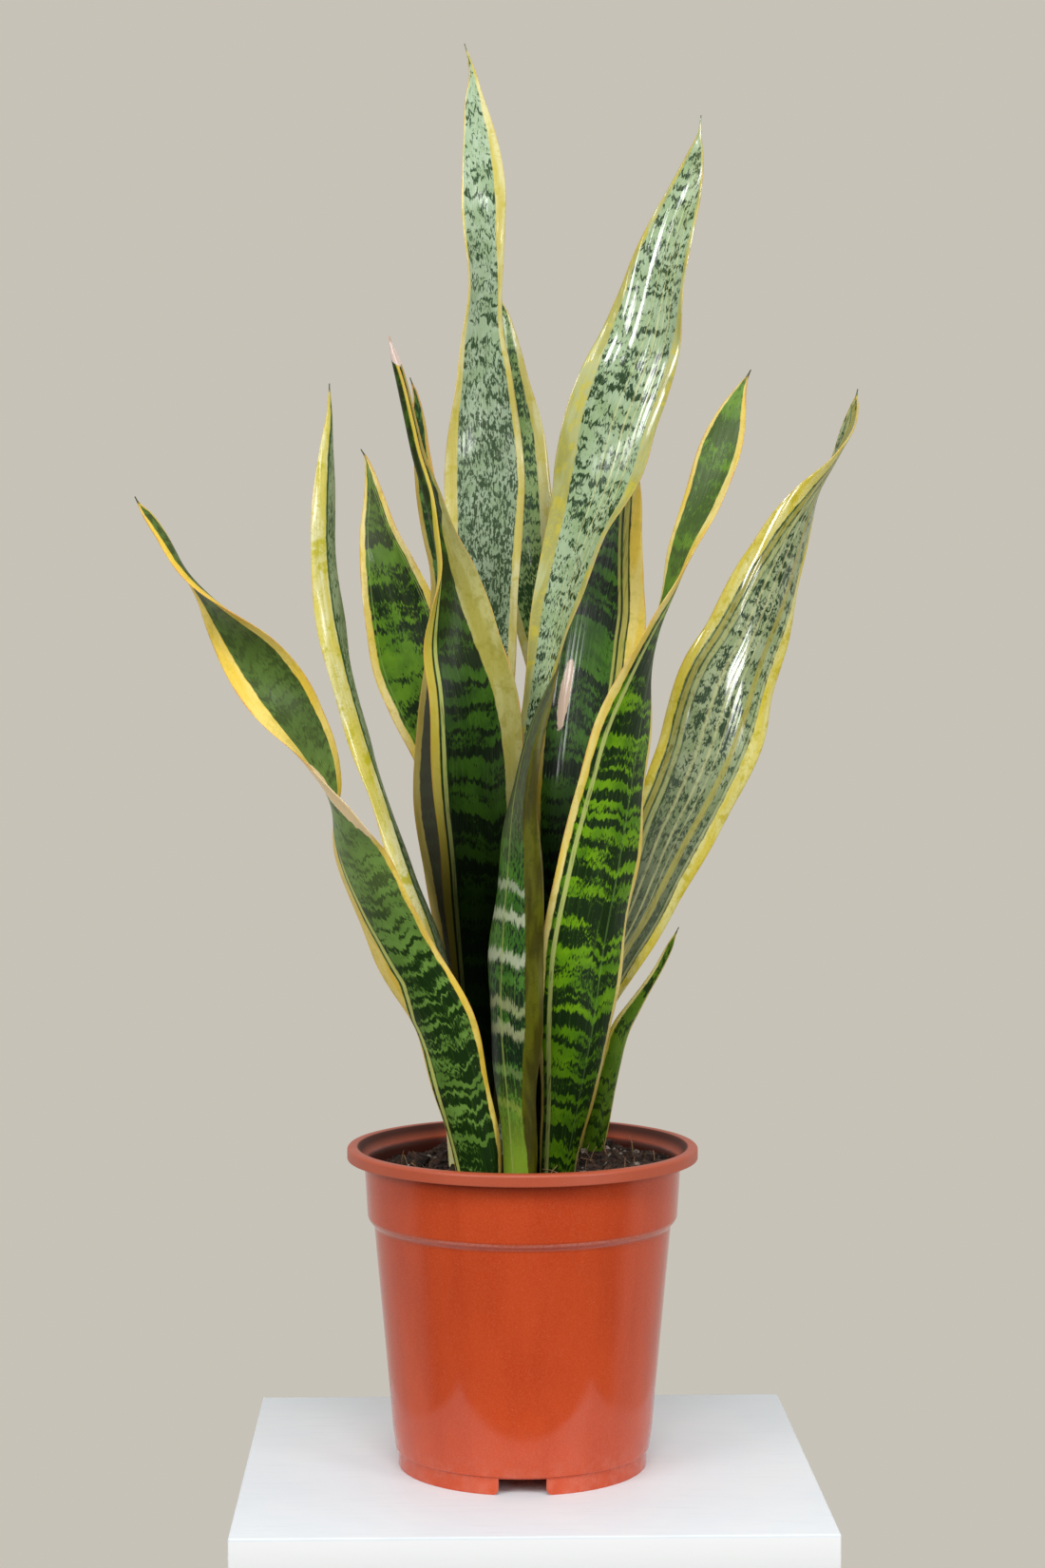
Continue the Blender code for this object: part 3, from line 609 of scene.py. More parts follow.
print("ready to run the blade's tree")

# %% [markdown]
# ## The leaf finish
#
# A snake plant's leaf is grey-green where the light catches its waxy skin and deep green in the shade.
# Dark lines cross it in small scallops with a fringed edge, because the dark cells follow the leaf's long
# fibres. The lines gather into bands in some places and break up into flecks in others. The edges are
# yellow with greener veins and a thin tan rim, and thin pale or dark lines run beside them. The glossiest
# leaves have narrow streaks of a clear coat. None of this is a picture: clouds of noise, stretched along
# the leaf and cut at a level, give the lines and flecks. They are laid out in millimetres across and along
# the blade, so they bend with it. Each cloud takes its own place in the noise from the leaf's seed plus a
# shift. Deep among the leaves little light arrives, so some feet get painted shade on the side that faces
# the front: a darker colour and less mirroring. A few leaves also get painted shade over a stretch of their
# height, and one gets a painted cast shadow.

# %% Parts of the leaf finish
def reading(tree, key):
    """A number that the blade stores on its points."""
    return add("ShaderNodeAttribute", {}, "Fac", tree, attribute_name=key, attribute_type="GEOMETRY")


def clouds_on(across, along, seed):
    """Makes the noise of one leaf: its clouds have one size across the leaf and another along it."""
    def cloud(across_size, along_size, shift, detail=2.0, roughness=0.55):
        return noise(vector(across / across_size, along / along_size, seed + shift), 1.0, detail, roughness)

    return cloud


def band_share(distance, low, high, soft):
    """1 between low and high, with soft ends."""
    return step(distance, low - soft, low + soft) * fall(distance, high - soft, high + soft)


def stripes(distance, colour, bands, worn=1.0):
    """Lays stripes over a colour. Each is (from, to, colour, strength) in the units of the distance."""
    for low, high, paint, strength in bands:
        inside = band_share(distance, low, high, min(0.35, (high - low) / 3))
        colour = mix(inside * worn * strength, colour, paint)
    return colour


def tints_and_painted_shade(along, colour, zones, where=1.0):
    """Lays colours over the leaf below a height, or above it where the first height is the larger one:
    tints of its own colour and painted shade.
    """
    for full, none, paint, strength in zones:
        colour = mix(fall(along, full, none) * strength * where, colour, paint)
    return colour


def scars(colour, place, spots):
    """Lays ragged scars over a colour. Each is (centre, half sizes, slant, colour) in metres."""
    for centre, sizes, slant, paint in spots:
        x, y, z = split(add("ShaderNodeVectorMath", {0: place, 1: centre}, operation="SUBTRACT"))
        away = vector(x - z * slant, y, z)
        away = add("ShaderNodeVectorMath", {0: away, 1: sizes}, operation="DIVIDE")
        away = add("ShaderNodeVectorMath", {0: away}, "Value", operation="LENGTH")
        ragged = away + (noise(place, 260.0, 3.0) - 0.5) * 0.5
        colour = mix(fall(ragged, 0.9, 1.0), colour, paint)
    return colour


def banded_green(look, across, along, place, seed):
    """The blade's green with its dark scalloped lines, bands and flecks."""
    cloud = clouds_on(across, along, seed)
    scallop_width, scallop_height = look["scallop"]
    turn = across * (math.pi / scallop_width) + cloud(14.0, 30.0, 1.7) * 16.0
    scallop = abs(calc("SINE", turn)) * scallop_height
    fringe = (cloud(0.8, 14.0, 5.1, 2.0, 0.7) - 0.5) * look["fringe"]
    sway = (cloud(24.0, 60.0, 3.9) - 0.5) * look["sway"]
    middle, reach, depth, murk = look["valley"]
    valley = fall(abs(place - middle), 0.0, reach)
    shifted = along + scallop + fringe + sway + valley * depth
    shifted_cloud = clouds_on(across, shifted, seed)
    lines = shifted_cloud(60.0, look["spacing"], 9.7, 1.5)
    clusters = shifted_cloud(*look["cluster"], 12.1)
    flecks = cloud(1.1, 3.6, 13.3, 2.0, 0.6)
    zones = cloud(110.0, 40.0, 15.5, 1.0)
    level = valley * murk + (cloud(0.7, 2.6, 18.1, 2.0, 0.7) - 0.5) * look["grain"]
    low_weights, low_murk, change = look["low"] or (look["weights"], 0.0, (0.0, 1.0))
    for value, low, high in zip((lines, clusters, flecks, zones), low_weights, look["weights"]):
        weight = high if low == high else step(along, *change, low, high)
        level = level + (value - 0.5) * weight
    level = level + step(along, *change, low_murk, 0.0)
    light, light_too, dark = look["greens"]
    limit, soft = look["level"], look["soft"]
    colour = mix(step(shifted_cloud(16.0, 14.0, 2.2), 0.35, 0.65), light, light_too)
    colour = mix(step(level, limit - 0.09, limit) * look["halo"], colour, dark)
    colour = mix(step(level, limit - soft, limit + soft), colour, dark)
    ragged = (cloud(0.9, 6.0, 19.0, 3.0, 0.75) - 0.5) * 11.0
    for centre, half, paint, strength in look["bars"]:
        away = abs(shifted - centre) + ragged
        colour = mix(fall(away, half * 0.5, half * 1.4) * strength, colour, paint)
    share, thread_colour = look["thread"]
    return mix(step(cloud(0.8, 40.0, 31.0), 0.52, 0.72) * share, colour, thread_colour)


def yellow_edge(look, cloud):
    """The yellow of the leaf's edges, with paler stretches, greener blotches and a net of fine veins."""
    colour = mix(step(cloud(8.0, 40.0, 17.0), 0.4, 0.62), *look["yellows"])
    blotch = step(cloud(8.0, 9.0, 23.0, 3.0, 0.6), 0.52, 0.66)
    net = fall(abs(cloud(5.0, 7.0, 25.0) - 0.5), 0.0, 0.03) * 0.6
    share, blotch_colour = look["blotch"]
    return mix(calc("MAXIMUM", blotch, net) * share, colour, blotch_colour)


def leaf_finish(name, look, seed):
    """A leaf's finish: banded green, tints and painted shade, stripes, yellow edges, a tan rim, scars, a
    tip and fine fibres.
    """
    seed += look["seed"]
    finish, surface, spot = new_finish(name + "_finish")
    across, along, to_tip, place, face, from_left, from_right, inside_left, inside_right = (
        reading(spot.tree, key) for key in (
            "from_middle", "along", "to_tip", "place", "face",
            "from_left", "from_right", "inside_left", "inside_right"))
    cloud = clouds_on(across, along, seed)
    # The side of the blade that faces the front, which alone gets the painted shade at the feet.
    front = step(face, -0.6, 0.2)
    # Tints over stretches of the leaf's height: some are its own colour, some are painted shade or a
    # painted cast shadow.
    colour = tints_and_painted_shade(along, banded_green(look, across, along, place, seed), look["tints_and_painted_shade"])
    worn = step(cloud(1.6, 26.0, 29.0, 3.0, 0.7), 0.3, 0.52, 0.35, 1.0)
    worn = worn * fall(along, look["stripe_top"] - 20, look["stripe_top"])
    colour = stripes(inside_left, colour, look["left_stripes"], worn)
    colour = stripes(inside_right, colour, look["right_stripes"], worn)
    colour = stripes(place, colour, look["lines"], worn)
    nearest = calc("MINIMUM", inside_left, inside_right) + (cloud(30.0, 9.0, 3.3, 3.0) - 0.5) * 1.8
    colour = mix(fall(nearest, -0.45, 0.35), colour, yellow_edge(look, cloud))
    colour = stripes(inside_left, colour, look["left_light"])
    share, rim_colour = look["rim"]
    rim = fall(calc("MINIMUM", from_left, from_right), 0.2, 1.1)
    rim = rim * step(cloud(9.0, 16.0, 33.0, 3.0), 0.4, 0.6, 0.2, 1.0)
    colour = scars(mix(rim * share, colour, rim_colour), spot, look["scars"])
    tip_length, tip_colour = look["tip"]
    colour = mix(fall(to_tip, tip_length * 0.5, tip_length), colour, tip_colour)

    shine, gloss = look["shine"], look["gloss"]
    # Where painted shade darkens the front face, the mirroring is lowered as well.
    for full, none, _, strength in look["painted_shade"]:
        shine = shine - fall(along, full, none) * front * (strength * look["shine"])
    ridge, ridge_width = look["ridge"]
    ridges = cloud(ridge_width, 130.0, 47.0)
    grain = cloud(0.5, 1.6, 53.0)
    streak = cloud(1.5, 150.0, 59.0, 3.0, 0.6) + (cloud(12.0, 70.0, 61.0) - 0.5) * 0.5
    coat, coat_low, coat_high = look["coat"]
    polish = step(streak, 0.5, 0.62) * band_share(along, coat_low, coat_high, 30.0)
    fill(surface, {
        # The base colour, with painted shade on the front faces at the feet of some leaves.
        "Base Color": tints_and_painted_shade(along, colour, look["painted_shade"], front),
        "Roughness": step(cloud(2.2, 30.0, 41.0, 3.0), 0.3, 0.7, gloss - 0.06, gloss + 0.09),
        "Specular IOR Level": shine,
        "Normal": bump(grain * 0.12 + ridges, ridge, 0.8 * MM),
        "Coat Weight": polish * coat,
        "Coat Roughness": 0.1,
        "Coat IOR": 2.1,
    })
    return finish


print("leaf finish ready")

# %% [markdown]
# ## Looks of the leaves
#
# All leaves share one finish, but no two look alike. The leaves that lean back into the light are pale
# and glossy, and those inside the clump are a saturated deep green. So there are two basic looks, a lit
# one and a shaded one, whose greens are partly the leaves' own and partly painted light and painted shade.
# Each leaf then changes what is its own. Lengths are millimetres, and heights are measured along the leaf.
#
# - greens: two light greens and the dark of the lines; halo: how strongly the dark spreads round a line
# - scallop: width and height; fringe, sway and valley: how lines fray, wander and dip about a middle
# - spacing: from line to line; weights: how much lines, clusters, flecks and zones count; low: other
#   weights and more dark below a change of height; level and soft: where and how softly dark begins
# - bars: cross bands; thread: pale fibres; blotch and rim: marks in the yellow; tip: the dry point
# - stripes and lines: along the yellow edges and down the blade, up to the stripe top; left light: a
#   clearer yellow over the left edge; tints and painted shade: colours below or above a height, the tints
#   partly the leaf's own and partly painted shade, and the painted shade darkening the feet's front faces
# - scars: dry torn spots, in metres; gloss and shine: roughness and mirroring; coat: the strength and
#   the heights of the clear coat; ridge: the strength and the width of the fibres

# %% Two basic looks
# The shaded look: deep greens, partly the leaves' own and partly painted shade.
SHADY = dict(
    slot="leaf_shaded", seed=0,
    greens=((90, 132, 20), (58, 98, 14), (8, 28, 3)), halo=0.55,
    scallop=(4.2, 2.2), fringe=3.2, sway=14, valley=(0.3, 0.3, 4, 0.03),
    spacing=6, cluster=(7, 6), grain=0.35, level=0.02, soft=0.05,
    weights=(1, 0.4, 0.35, 0.35), low=None,
    bars=[], thread=(0.12, (110, 150, 60)),
    yellows=((220, 192, 84), (226, 210, 130)), blotch=(0.4, (190, 170, 44)),
    rim=(0.7, (205, 150, 80)), tip=(6, (70, 76, 44)),
    left_stripes=[], right_stripes=[], lines=[], stripe_top=900, left_light=[],
    tints_and_painted_shade=[], painted_shade=[], scars=[],
    gloss=0.38, shine=0.22, coat=(0, 0, 900), ridge=(0.3, 1.6),
)
# The lit look: pale greens, partly the leaves' own and partly painted light for the sheen of the lamps.
BRIGHT = SHADY | dict(
    slot="leaf_lit",
    greens=((176, 198, 166), (152, 178, 136), (26, 66, 20)), halo=0.25,
    scallop=(4.4, 2.6), fringe=3, sway=10, valley=(0, 1, 0, 0),
    spacing=3.6, cluster=(6, 4.5), grain=0.45, level=0.03, soft=0.055,
    weights=(0.7, 0.6, 0.5, 0.4), thread=(0.15, (196, 210, 170)),
    yellows=((208, 196, 108), (220, 216, 160)), blotch=(0.6, (196, 182, 44)),
    rim=(0.5, (214, 176, 96)), gloss=0.45, shine=0.4, coat=(0.4, 0, 900), ridge=(0.4, 1.6),
)
DEEP, FOREST, LEAFY = (16, 42, 12), (24, 50, 16), (46, 76, 30)
PALE_LINE, CREAM, OLIVE, PALE_GREEN = (186, 192, 104), (214, 212, 150), (168, 160, 70), (150, 176, 90)
LOOKS = {
    "leaf_front_centre": SHADY | dict(
        greens=((64, 110, 34), (46, 90, 26), (12, 34, 14)), fringe=7, spacing=9,
        weights=(0.4, 0.4, 0.9, 0.4), thread=(0.3, (110, 150, 60)),
        bars=[
            (202, 2.4, (164, 174, 146), 0.7), (185, 3.4, (178, 186, 156), 0.8),
            (162, 3.6, (178, 186, 156), 0.8), (133, 3, (166, 172, 124), 0.6),
            (119, 3.2, (170, 174, 130), 0.6), (95, 3, (120, 150, 80), 0.5),
            (74, 2.6, (150, 170, 70), 0.45),
        ],
        lines=[(-0.26, -0.2, (150, 164, 84), 0.55)],
        # Its yellow edges and their blotches are dark olive: painted shade on an edge that lies in shadow.
        yellows=((60, 58, 4), (84, 86, 8)), blotch=(0.4, (40, 46, 4)), rim=(0.1, (205, 150, 80)),
        tints_and_painted_shade=[(25, 95, (130, 158, 44), 0.9), (250, 205, (84, 86, 66), 0.65)],
    ),
    "leaf_front_left": SHADY | dict(
        greens=((106, 144, 62), (86, 122, 46), (20, 46, 8)), level=0.05,
        left_stripes=[(0.4, 1.4, DEEP, 0.8), (1.6, 4.2, (196, 200, 108), 0.95), (4.4, 5.2, DEEP, 0.6)],
        stripe_top=250, low=((1.3, 0.25, 0.3, 0.2), 0.07, (110, 200)),
        yellows=((230, 196, 70), (236, 212, 112)), rim=(0.6, (210, 140, 80)),
        # The second tint darkens the upper, hollow side: painted shade.
        tints_and_painted_shade=[(240, 170, (150, 176, 100), 0.25), (320, 285, (48, 64, 22), 0.6)],
        scars=[((-0.1065, -0.122, 0.407), (0.005, 0.018, 0.028), -0.9, (255, 226, 172))],
    ),
    "leaf_front_right": SHADY | dict(
        greens=((106, 154, 6), (74, 120, 6), (14, 40, 2)),
        left_stripes=[(0.3, 1.3, DEEP, 0.5), (2.4, 5, (178, 188, 106), 0.9)],
        lines=[(0.3, 0.34, (120, 160, 80), 0.35)], stripe_top=395,
        bars=[(452, 4.5, (20, 36, 16), 0.95), (418, 2.4, (28, 52, 18), 0.7)],
        weights=(0.5, 0.3, 0.35, 0.7), low=((1.2, 0.3, 0.3, 0.2), 0.03, (300, 380)),
        tints_and_painted_shade=[(390, 340, (96, 122, 60), 0.5)],
        # The shades darken the foot's front face: painted shade.
        painted_shade=[(50, 175, (8, 20, 3), 0.65)],
    ),
    "leaf_centre_left": SHADY | dict(
        greens=((50, 86, 14), (36, 66, 11), (8, 24, 3)), halo=0.7, shine=0.15,
        left_stripes=[(0.2, 1.4, DEEP, 0.9), (1.6, 4, PALE_LINE, 0.85), (4.2, 5.2, DEEP, 0.8)],
        stripe_top=400, left_light=[(-9, 0.2, (214, 192, 60), 0.6)],
        # Its yellow edges and blotches are darkened as painted shade, and the left edge keeps a clearer
        # yellow.
        yellows=((154, 148, 68), (168, 164, 100)), blotch=(0.6, (134, 128, 40)),
        tints_and_painted_shade=[(380, 300, (70, 84, 36), 0.25)], thread=(0.1, (120, 138, 84)),
        # The shades paint the foot's front face nearly black: painted shade.
        painted_shade=[(180, 330, (3, 7, 2), 0.93)], tip=(5, (190, 160, 140)),
        scars=[((-0.0745, -0.026, 0.662), (0.004, 0.02, 0.009), -0.2, (224, 202, 192))],
    ),
    "leaf_inner_left": SHADY | dict(
        greens=((80, 118, 50), (62, 96, 36), (24, 50, 18)),
        yellows=((164, 146, 66), (176, 160, 88)), blotch=(0.1, (190, 170, 44)),
        # The tint darkens the lower part and the shades darken the foot's front face: painted shade.
        tints_and_painted_shade=[(330, 400, (66, 64, 52), 0.9)], painted_shade=[(120, 260, (30, 30, 24), 0.7)],
    ),
    "leaf_slender_left": BRIGHT | dict(
        greens=((142, 158, 116), (122, 140, 96), (36, 70, 22)),
        weights=(0.2, 0.3, 0.9, 0.3), level=0.08,
        left_stripes=[(0, 1.5, (32, 72, 30), 0.95)], tip=(6, (60, 88, 52)),
        yellows=((216, 204, 96), (228, 224, 164)), blotch=(0.9, (192, 184, 24)),
    ),
    "leaf_back_left": SHADY | dict(
        greens=((98, 142, 26), (76, 118, 18), (12, 36, 3)), spacing=8,
        weights=(0.9, 0.5, 0.4, 0.3), level=0.085, coat=(0.5, 345, 395),
        left_stripes=[(1.6, 2.2, PALE_GREEN, 0.5)],
        right_stripes=[(0.8, 1.3, (176, 190, 110), 0.6), (2.2, 2.7, PALE_GREEN, 0.5)],
        yellows=((232, 206, 92), (240, 222, 150)), tints_and_painted_shade=[(440, 370, (96, 104, 70), 0.5)],
    ),
    "leaf_tall_centre": BRIGHT | dict(
        scallop=(8, 5), valley=(0, 0.6, -3, 0), spacing=4.2, level=0.08, seed=3,
        weights=(0.9, 0.6, 0.6, 0.1), low=((0.1, 0.8, 1.5, 0.2), 0.085, (430, 540)),
        # The tint darkens the leaf below its middle: a painted cast shadow.
        tints_and_painted_shade=[(480, 545, (84, 96, 66), 0.2)],
        yellows=((208, 194, 98), (222, 216, 154)), tip=(6, (104, 118, 76)),
    ),
    "leaf_behind_tall": BRIGHT | dict(
        greens=((150, 176, 112), (124, 156, 84), (26, 66, 20)), level=0,
    ),
    "leaf_tall_right": BRIGHT | dict(
        greens=((160, 182, 146), (144, 168, 122), (18, 54, 8)), level=0.062,
        weights=(0.5, 1, 0.6, 0.15), low=((0.3, 0.7, 1, 0.15), 0, (350, 430)),
        coat=(1, 465, 900), ridge=(0.5, 2), shine=0.25,
        yellows=((160, 158, 82), (176, 180, 124)), tip=(6, (84, 108, 62)),
        lines=[
            (0.02, 0.05, CREAM, 0.45), (0.27, 0.31, CREAM, 0.55),
            (0.42, 0.45, CREAM, 0.45), (0.56, 0.6, CREAM, 0.45),
        ],
        scars=[((0.096, -0.02, 0.69), (0.0022, 0.04, 0.022), 0.1, (198, 160, 120))],
    ),
    "leaf_middle_right": SHADY | dict(
        greens=((66, 112, 24), (48, 88, 20), (8, 30, 4)), halo=0.6,
        right_stripes=[
            (0.2, 1, FOREST, 0.95), (1, 4.4, (182, 172, 84), 0.95),
            (4.4, 5.6, FOREST, 0.95), (5.7, 7.4, (180, 176, 90), 0.85),
        ],
        scars=[((0.0255, 0.027, 0.461), (0.0036, 0.03, 0.023), 0.18, (230, 200, 176))],
        # The shades darken the foot's front face: painted shade.
        yellows=((228, 196, 76), (228, 208, 120)), painted_shade=[(200, 320, (3, 6, 3), 0.9)],
        gloss=0.4, shine=0.25, coat=(0.45, 250, 345),
    ),
    "leaf_far_right": BRIGHT | dict(
        greens=((164, 178, 136), (144, 162, 112), (20, 56, 12)), level=0.06,
        weights=(0.5, 0.9, 0.6, 0.5), low=((0.2, 0.6, 1.1, 0.4), 0, (180, 300)),
        coat=(1, 325, 900), ridge=(0.5, 2), shine=0.25,
        left_stripes=[
            (0.3, 1.3, (52, 78, 30), 0.85), (1.3, 4.6, OLIVE, 0.9), (4.6, 5.7, LEAFY, 0.8),
            (5.8, 8.6, (172, 176, 108), 0.8), (8.8, 9.8, LEAFY, 0.7),
        ],
        right_stripes=[(0.6, 2, CREAM, 0.4), (2.2, 3, LEAFY, 0.6), (6.6, 10.4, OLIVE, 0.8)],
        lines=[(-0.24, -0.18, CREAM, 0.5), (0, 0.05, CREAM, 0.5), (0.17, 0.2, CREAM, 0.4)],
        # The tint darkens the lower part of the leaf: painted shade.
        tints_and_painted_shade=[(180, 350, (58, 70, 38), 0.8)], tip=(6, (84, 112, 66)),
        yellows=((218, 200, 70), (224, 216, 132)), blotch=(0.8, (196, 180, 24)),
    ),
    "leaf_small_right": SHADY | dict(
        greens=((94, 130, 18), (74, 112, 16), (30, 56, 10)), level=0.1,
        # The shades darken the foot's front face: painted shade.
        painted_shade=[(30, 110, (18, 36, 6), 0.5)],
        yellows=((214, 196, 84), (226, 216, 140)), gloss=0.28, shine=0.5,
    ),
}
print("looks:", len(LOOKS))

# %% [markdown]
# ## Growing the leaves
#
# It replaces the CAD leaf of the same name, and it rides on the only body there is.

# %% Growing the leaves
FIRST_SEED, SEED_STEP = 10.0, 7.3

for number, (name, look) in enumerate(LOOKS.items()):
    finish = leaf_finish(name, look, FIRST_SEED + SEED_STEP * number)
    leaf = grow(path_object(name), BLADE, name + "_blade", {"Finish": finish})
    volume = check_outwards(leaf)
    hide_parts(name)
    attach(leaf, "root")
    print(name, len(leaf.data.polygons), "faces", round(volume, 1), "cm3")

# %% [markdown]
# ## The pot
#
# The pot is moulded in one piece from terracotta coloured plastic. A profile turned about the axis makes
# it: a lathe, in effect. The moulded corners are small rounds, which catch the light as thin lines, so
# each corner of the profile is replaced by a short curve before it is turned. Three notches in the foot
# and six drain holes in the floor are cut out afterwards with a Boolean. The first names below are radii
# and the next ones are heights.

# %% Turning the pot
RIM, COLLAR, COLLAR_LOW, BODY, BODY_LOW, FOOT = 105.0, 94.9, 92.8, 89.0, 79.0, 74.5
TOP, RIM_LOW, SHOULDER, BEND_HIGH, BEND_LOW, FLOOR = 192.0, 184.5, 150.0, 36.0, 23.0, 10.0
WALL = 2.0
POT_SIDES = 168


def pot_profile():
    """The pot's outline as (radius, height, corner round), up the outside and down the inside."""
    return [
        (FOOT, 0.0, 0.4), (FOOT, FLOOR, 0.2), (FOOT + 1.7, FLOOR + 0.85, 0.5),
        (BODY_LOW - 1.0, BEND_LOW, 6.0), (BODY_LOW, BEND_HIGH, 6.0),
        (BODY, SHOULDER - 5.0, 2.0), (BODY + 2.5, SHOULDER - 2.5, 0.8),
        (COLLAR_LOW, SHOULDER, 0.7), (COLLAR, RIM_LOW, 0.3),
        (RIM - 0.2, RIM_LOW, 0.15), (RIM, RIM_LOW + 0.5, 0.2), (RIM, TOP - 1.5, 0.6),
        (RIM - 0.9, TOP - 0.4, 0.6), (RIM - 3.6, TOP, 1.2), (RIM - 6.6, TOP - 0.5, 1.0),
        (RIM - 7.6, TOP - 1.8, 0.7), (COLLAR - WALL, RIM_LOW - WALL, 2.0),
        (COLLAR_LOW - WALL, SHOULDER + 1.25, 0.8), (BODY - WALL, SHOULDER - 5.0, 1.0),
        (BODY_LOW - WALL, BEND_HIGH, 4.0), (BODY_LOW - WALL - 1.0, BEND_LOW, 4.0),
        (FOOT - WALL / 2, FLOOR + WALL, 1.0), (0.0, FLOOR + WALL, 0.0),
        (0.0, FLOOR, 0.0), (FOOT - WALL, FLOOR, 0.4), (FOOT - WALL, 0.0, 0.4),
    ]


def rounded(corners, steps=4):
    """The points of a closed outline with each corner replaced by a short curve.

    A point just before and after each curve keeps the shading of the straight runs straight."""
    points = []
    for k, (radius, height, size) in enumerate(corners):
        here = np.array([radius, height])
        if size == 0.0:
            points.append(here)
            continue
        ways = [np.array(corners[beside][:2]) - here for beside in (k - 1, (k + 1) % len(corners))]
        reach = min(size, *(0.4 * np.linalg.norm(way) for way in ways))
        start, finish = (here + way / np.linalg.norm(way) * reach for way in ways)
        points.append(start + 0.2 * (start - here))
        for share in np.linspace(0.0, 1.0, steps):
            points.append((1 - share) ** 2 * start + 2 * share * (1 - share) * here + share**2 * finish)
        points.append(finish + 0.2 * (finish - here))
    return points


def circle(radius, count, height=0.0):
    """Points round a circle about the axis."""
    turns = [math.tau * k / count for k in range(count)]
    return [Vector((radius * math.cos(a), radius * math.sin(a), height)) for a in turns]


def mesh_of(shape, name):
    """A plain mesh of a bmesh, with its faces outwards."""
    bmesh.ops.recalc_face_normals(shape, faces=shape.faces)
    mesh = bpy.data.meshes.new(name)
    shape.to_mesh(mesh)
    shape.free()
    return mesh


def turned_mesh(name, outline, sides):
    """A closed piece from a closed outline of (radius, height) in millimetres, turned about the axis."""
    shape = bmesh.new()
    rings = []
    for radius, height in outline:
        if radius < 0.001:
            rings.append([shape.verts.new((0, 0, height * MM))] * sides)
        else:
            rings.append([shape.verts.new(point * MM) for point in circle(radius, sides, height)])
    for low, high in zip(rings, rings[1:] + rings[:1]):
        for side in range(sides):
            beside = (side + 1) % sides
            corners = list(dict.fromkeys([low[side], low[beside], high[beside], high[side]]))
            if len(corners) > 2:
                shape.faces.new(corners)
    return placed(name, mesh_of(shape, name))


pot = turned_mesh("pot_shell", rounded(pot_profile()), POT_SIDES)
print("pot turned:", len(pot.data.polygons), "faces")

# %% [markdown]
# ## Notches and drain holes
#
# The notches in the foot let water run away from under the pot. A cutter is an outline pushed through the
# wall. The wall's lower corners beside each notch are rounded, so the cutter flares at its mouth.

# %% Cutting the foot
NOTCH_WIDTH, NOTCH_HEIGHT, NOTCH_ROUND = 27.7, 9.6, 4.0
DRAIN_RADIUS, DRAIN_CIRCLE = 5.0, 48.0
SHARP_CORNER = 38


def notch_outline():
    """Half of the notch from its mouth to its top, then the other half mirrored, as (x, height)."""
    centre = NOTCH_WIDTH / 2 + NOTCH_ROUND
    half = []
    for angle in np.radians(range(12, 91, 13)):
        half.append((centre - NOTCH_ROUND * math.sin(angle), NOTCH_ROUND * (1 - math.cos(angle))))
    half = [(half[0][0], -4.0), *half, (NOTCH_WIDTH / 2, NOTCH_HEIGHT)]
    return half + [(-x, z) for x, z in reversed(half)]


def cutter(name, outline, near, far, matrix):
    """A cutter: an outline of (x, height) pushed from near to far along Y, then moved by a matrix."""
    shape = bmesh.new()
    front = shape.faces.new([shape.verts.new((x * MM, near * MM, z * MM)) for x, z in outline])
    moved = bmesh.ops.extrude_face_region(shape, geom=[front])["geom"]
    corners = [item for item in moved if isinstance(item, bmesh.types.BMVert)]
    bmesh.ops.translate(shape, verts=corners, vec=(0, (far - near) * MM, 0))
    mesh = mesh_of(shape, name)
    mesh.transform(matrix)
    return bpy.data.objects.new(name, mesh)


def smoothed(mesh, degrees):
    """Makes a mesh smooth where its faces meet at less than an angle."""
    mesh.shade_smooth()
    mesh.set_sharp_from_angle(angle=math.radians(degrees))


cutters = bpy.data.collections.new("foot_cutters")
bpy.context.scene.collection.children.link(cutters)
for index in range(3):
    turn = Matrix.Rotation(math.tau * index / 3, 4, "Z")
    notch = cutter(f"notch_{index}", notch_outline(), -FOOT - 3, -FOOT + 7, turn)
    cutters.objects.link(notch)
lying = Matrix.Rotation(math.pi / 2, 4, "X")
ring = [point.xy for point in circle(DRAIN_RADIUS, 24)]
for index, place in enumerate(circle(DRAIN_CIRCLE, 12, FLOOR + 1)[1::2]):
    cutters.objects.link(cutter(f"drain_{index}", ring, -6, 6, Matrix.Translation(place * MM) @ lying))

cut = pot.modifiers.new("carve", "BOOLEAN")
cut.operation, cut.operand_type, cut.collection, cut.solver = "DIFFERENCE", "COLLECTION", cutters, "EXACT"
carved = result_of(pot)
pot.modifiers.clear()
pot.data = carved
for tool in list(cutters.objects):
    bpy.data.objects.remove(tool)
bpy.data.collections.remove(cutters)
smoothed(pot.data, SHARP_CORNER)
print("pot carved:", round(check_outwards(pot), 1), "cm3")

# %% [markdown]
# ## Terracotta plastic
#
# The plastic is a warm orange-brown and smooth enough to mirror what stands beside it. Up close it has the
# grain of a cheap mould and faint streaks where the melt ran. The pot has been handled: a pale line runs
# along its shoulder, partly rubbed pale and partly a painted highlight on the ledge, and dust sits low on
# its foot. The rim is paler and duller than the body. The inner wall above the soil is dull and painted
# dark, as painted shade where little light reaches into the pot. All of it reads the object's own
# coordinates.

# %% The pot's finish
RUBBED_HIGHLIGHT_LINE, DUST_TOP = 148.6, 30.0
INNER_RADIUS, INNER_LOW = 93.8, 152.0
WALL_FLARE, RIM_FLARE = 0.06, 0.75


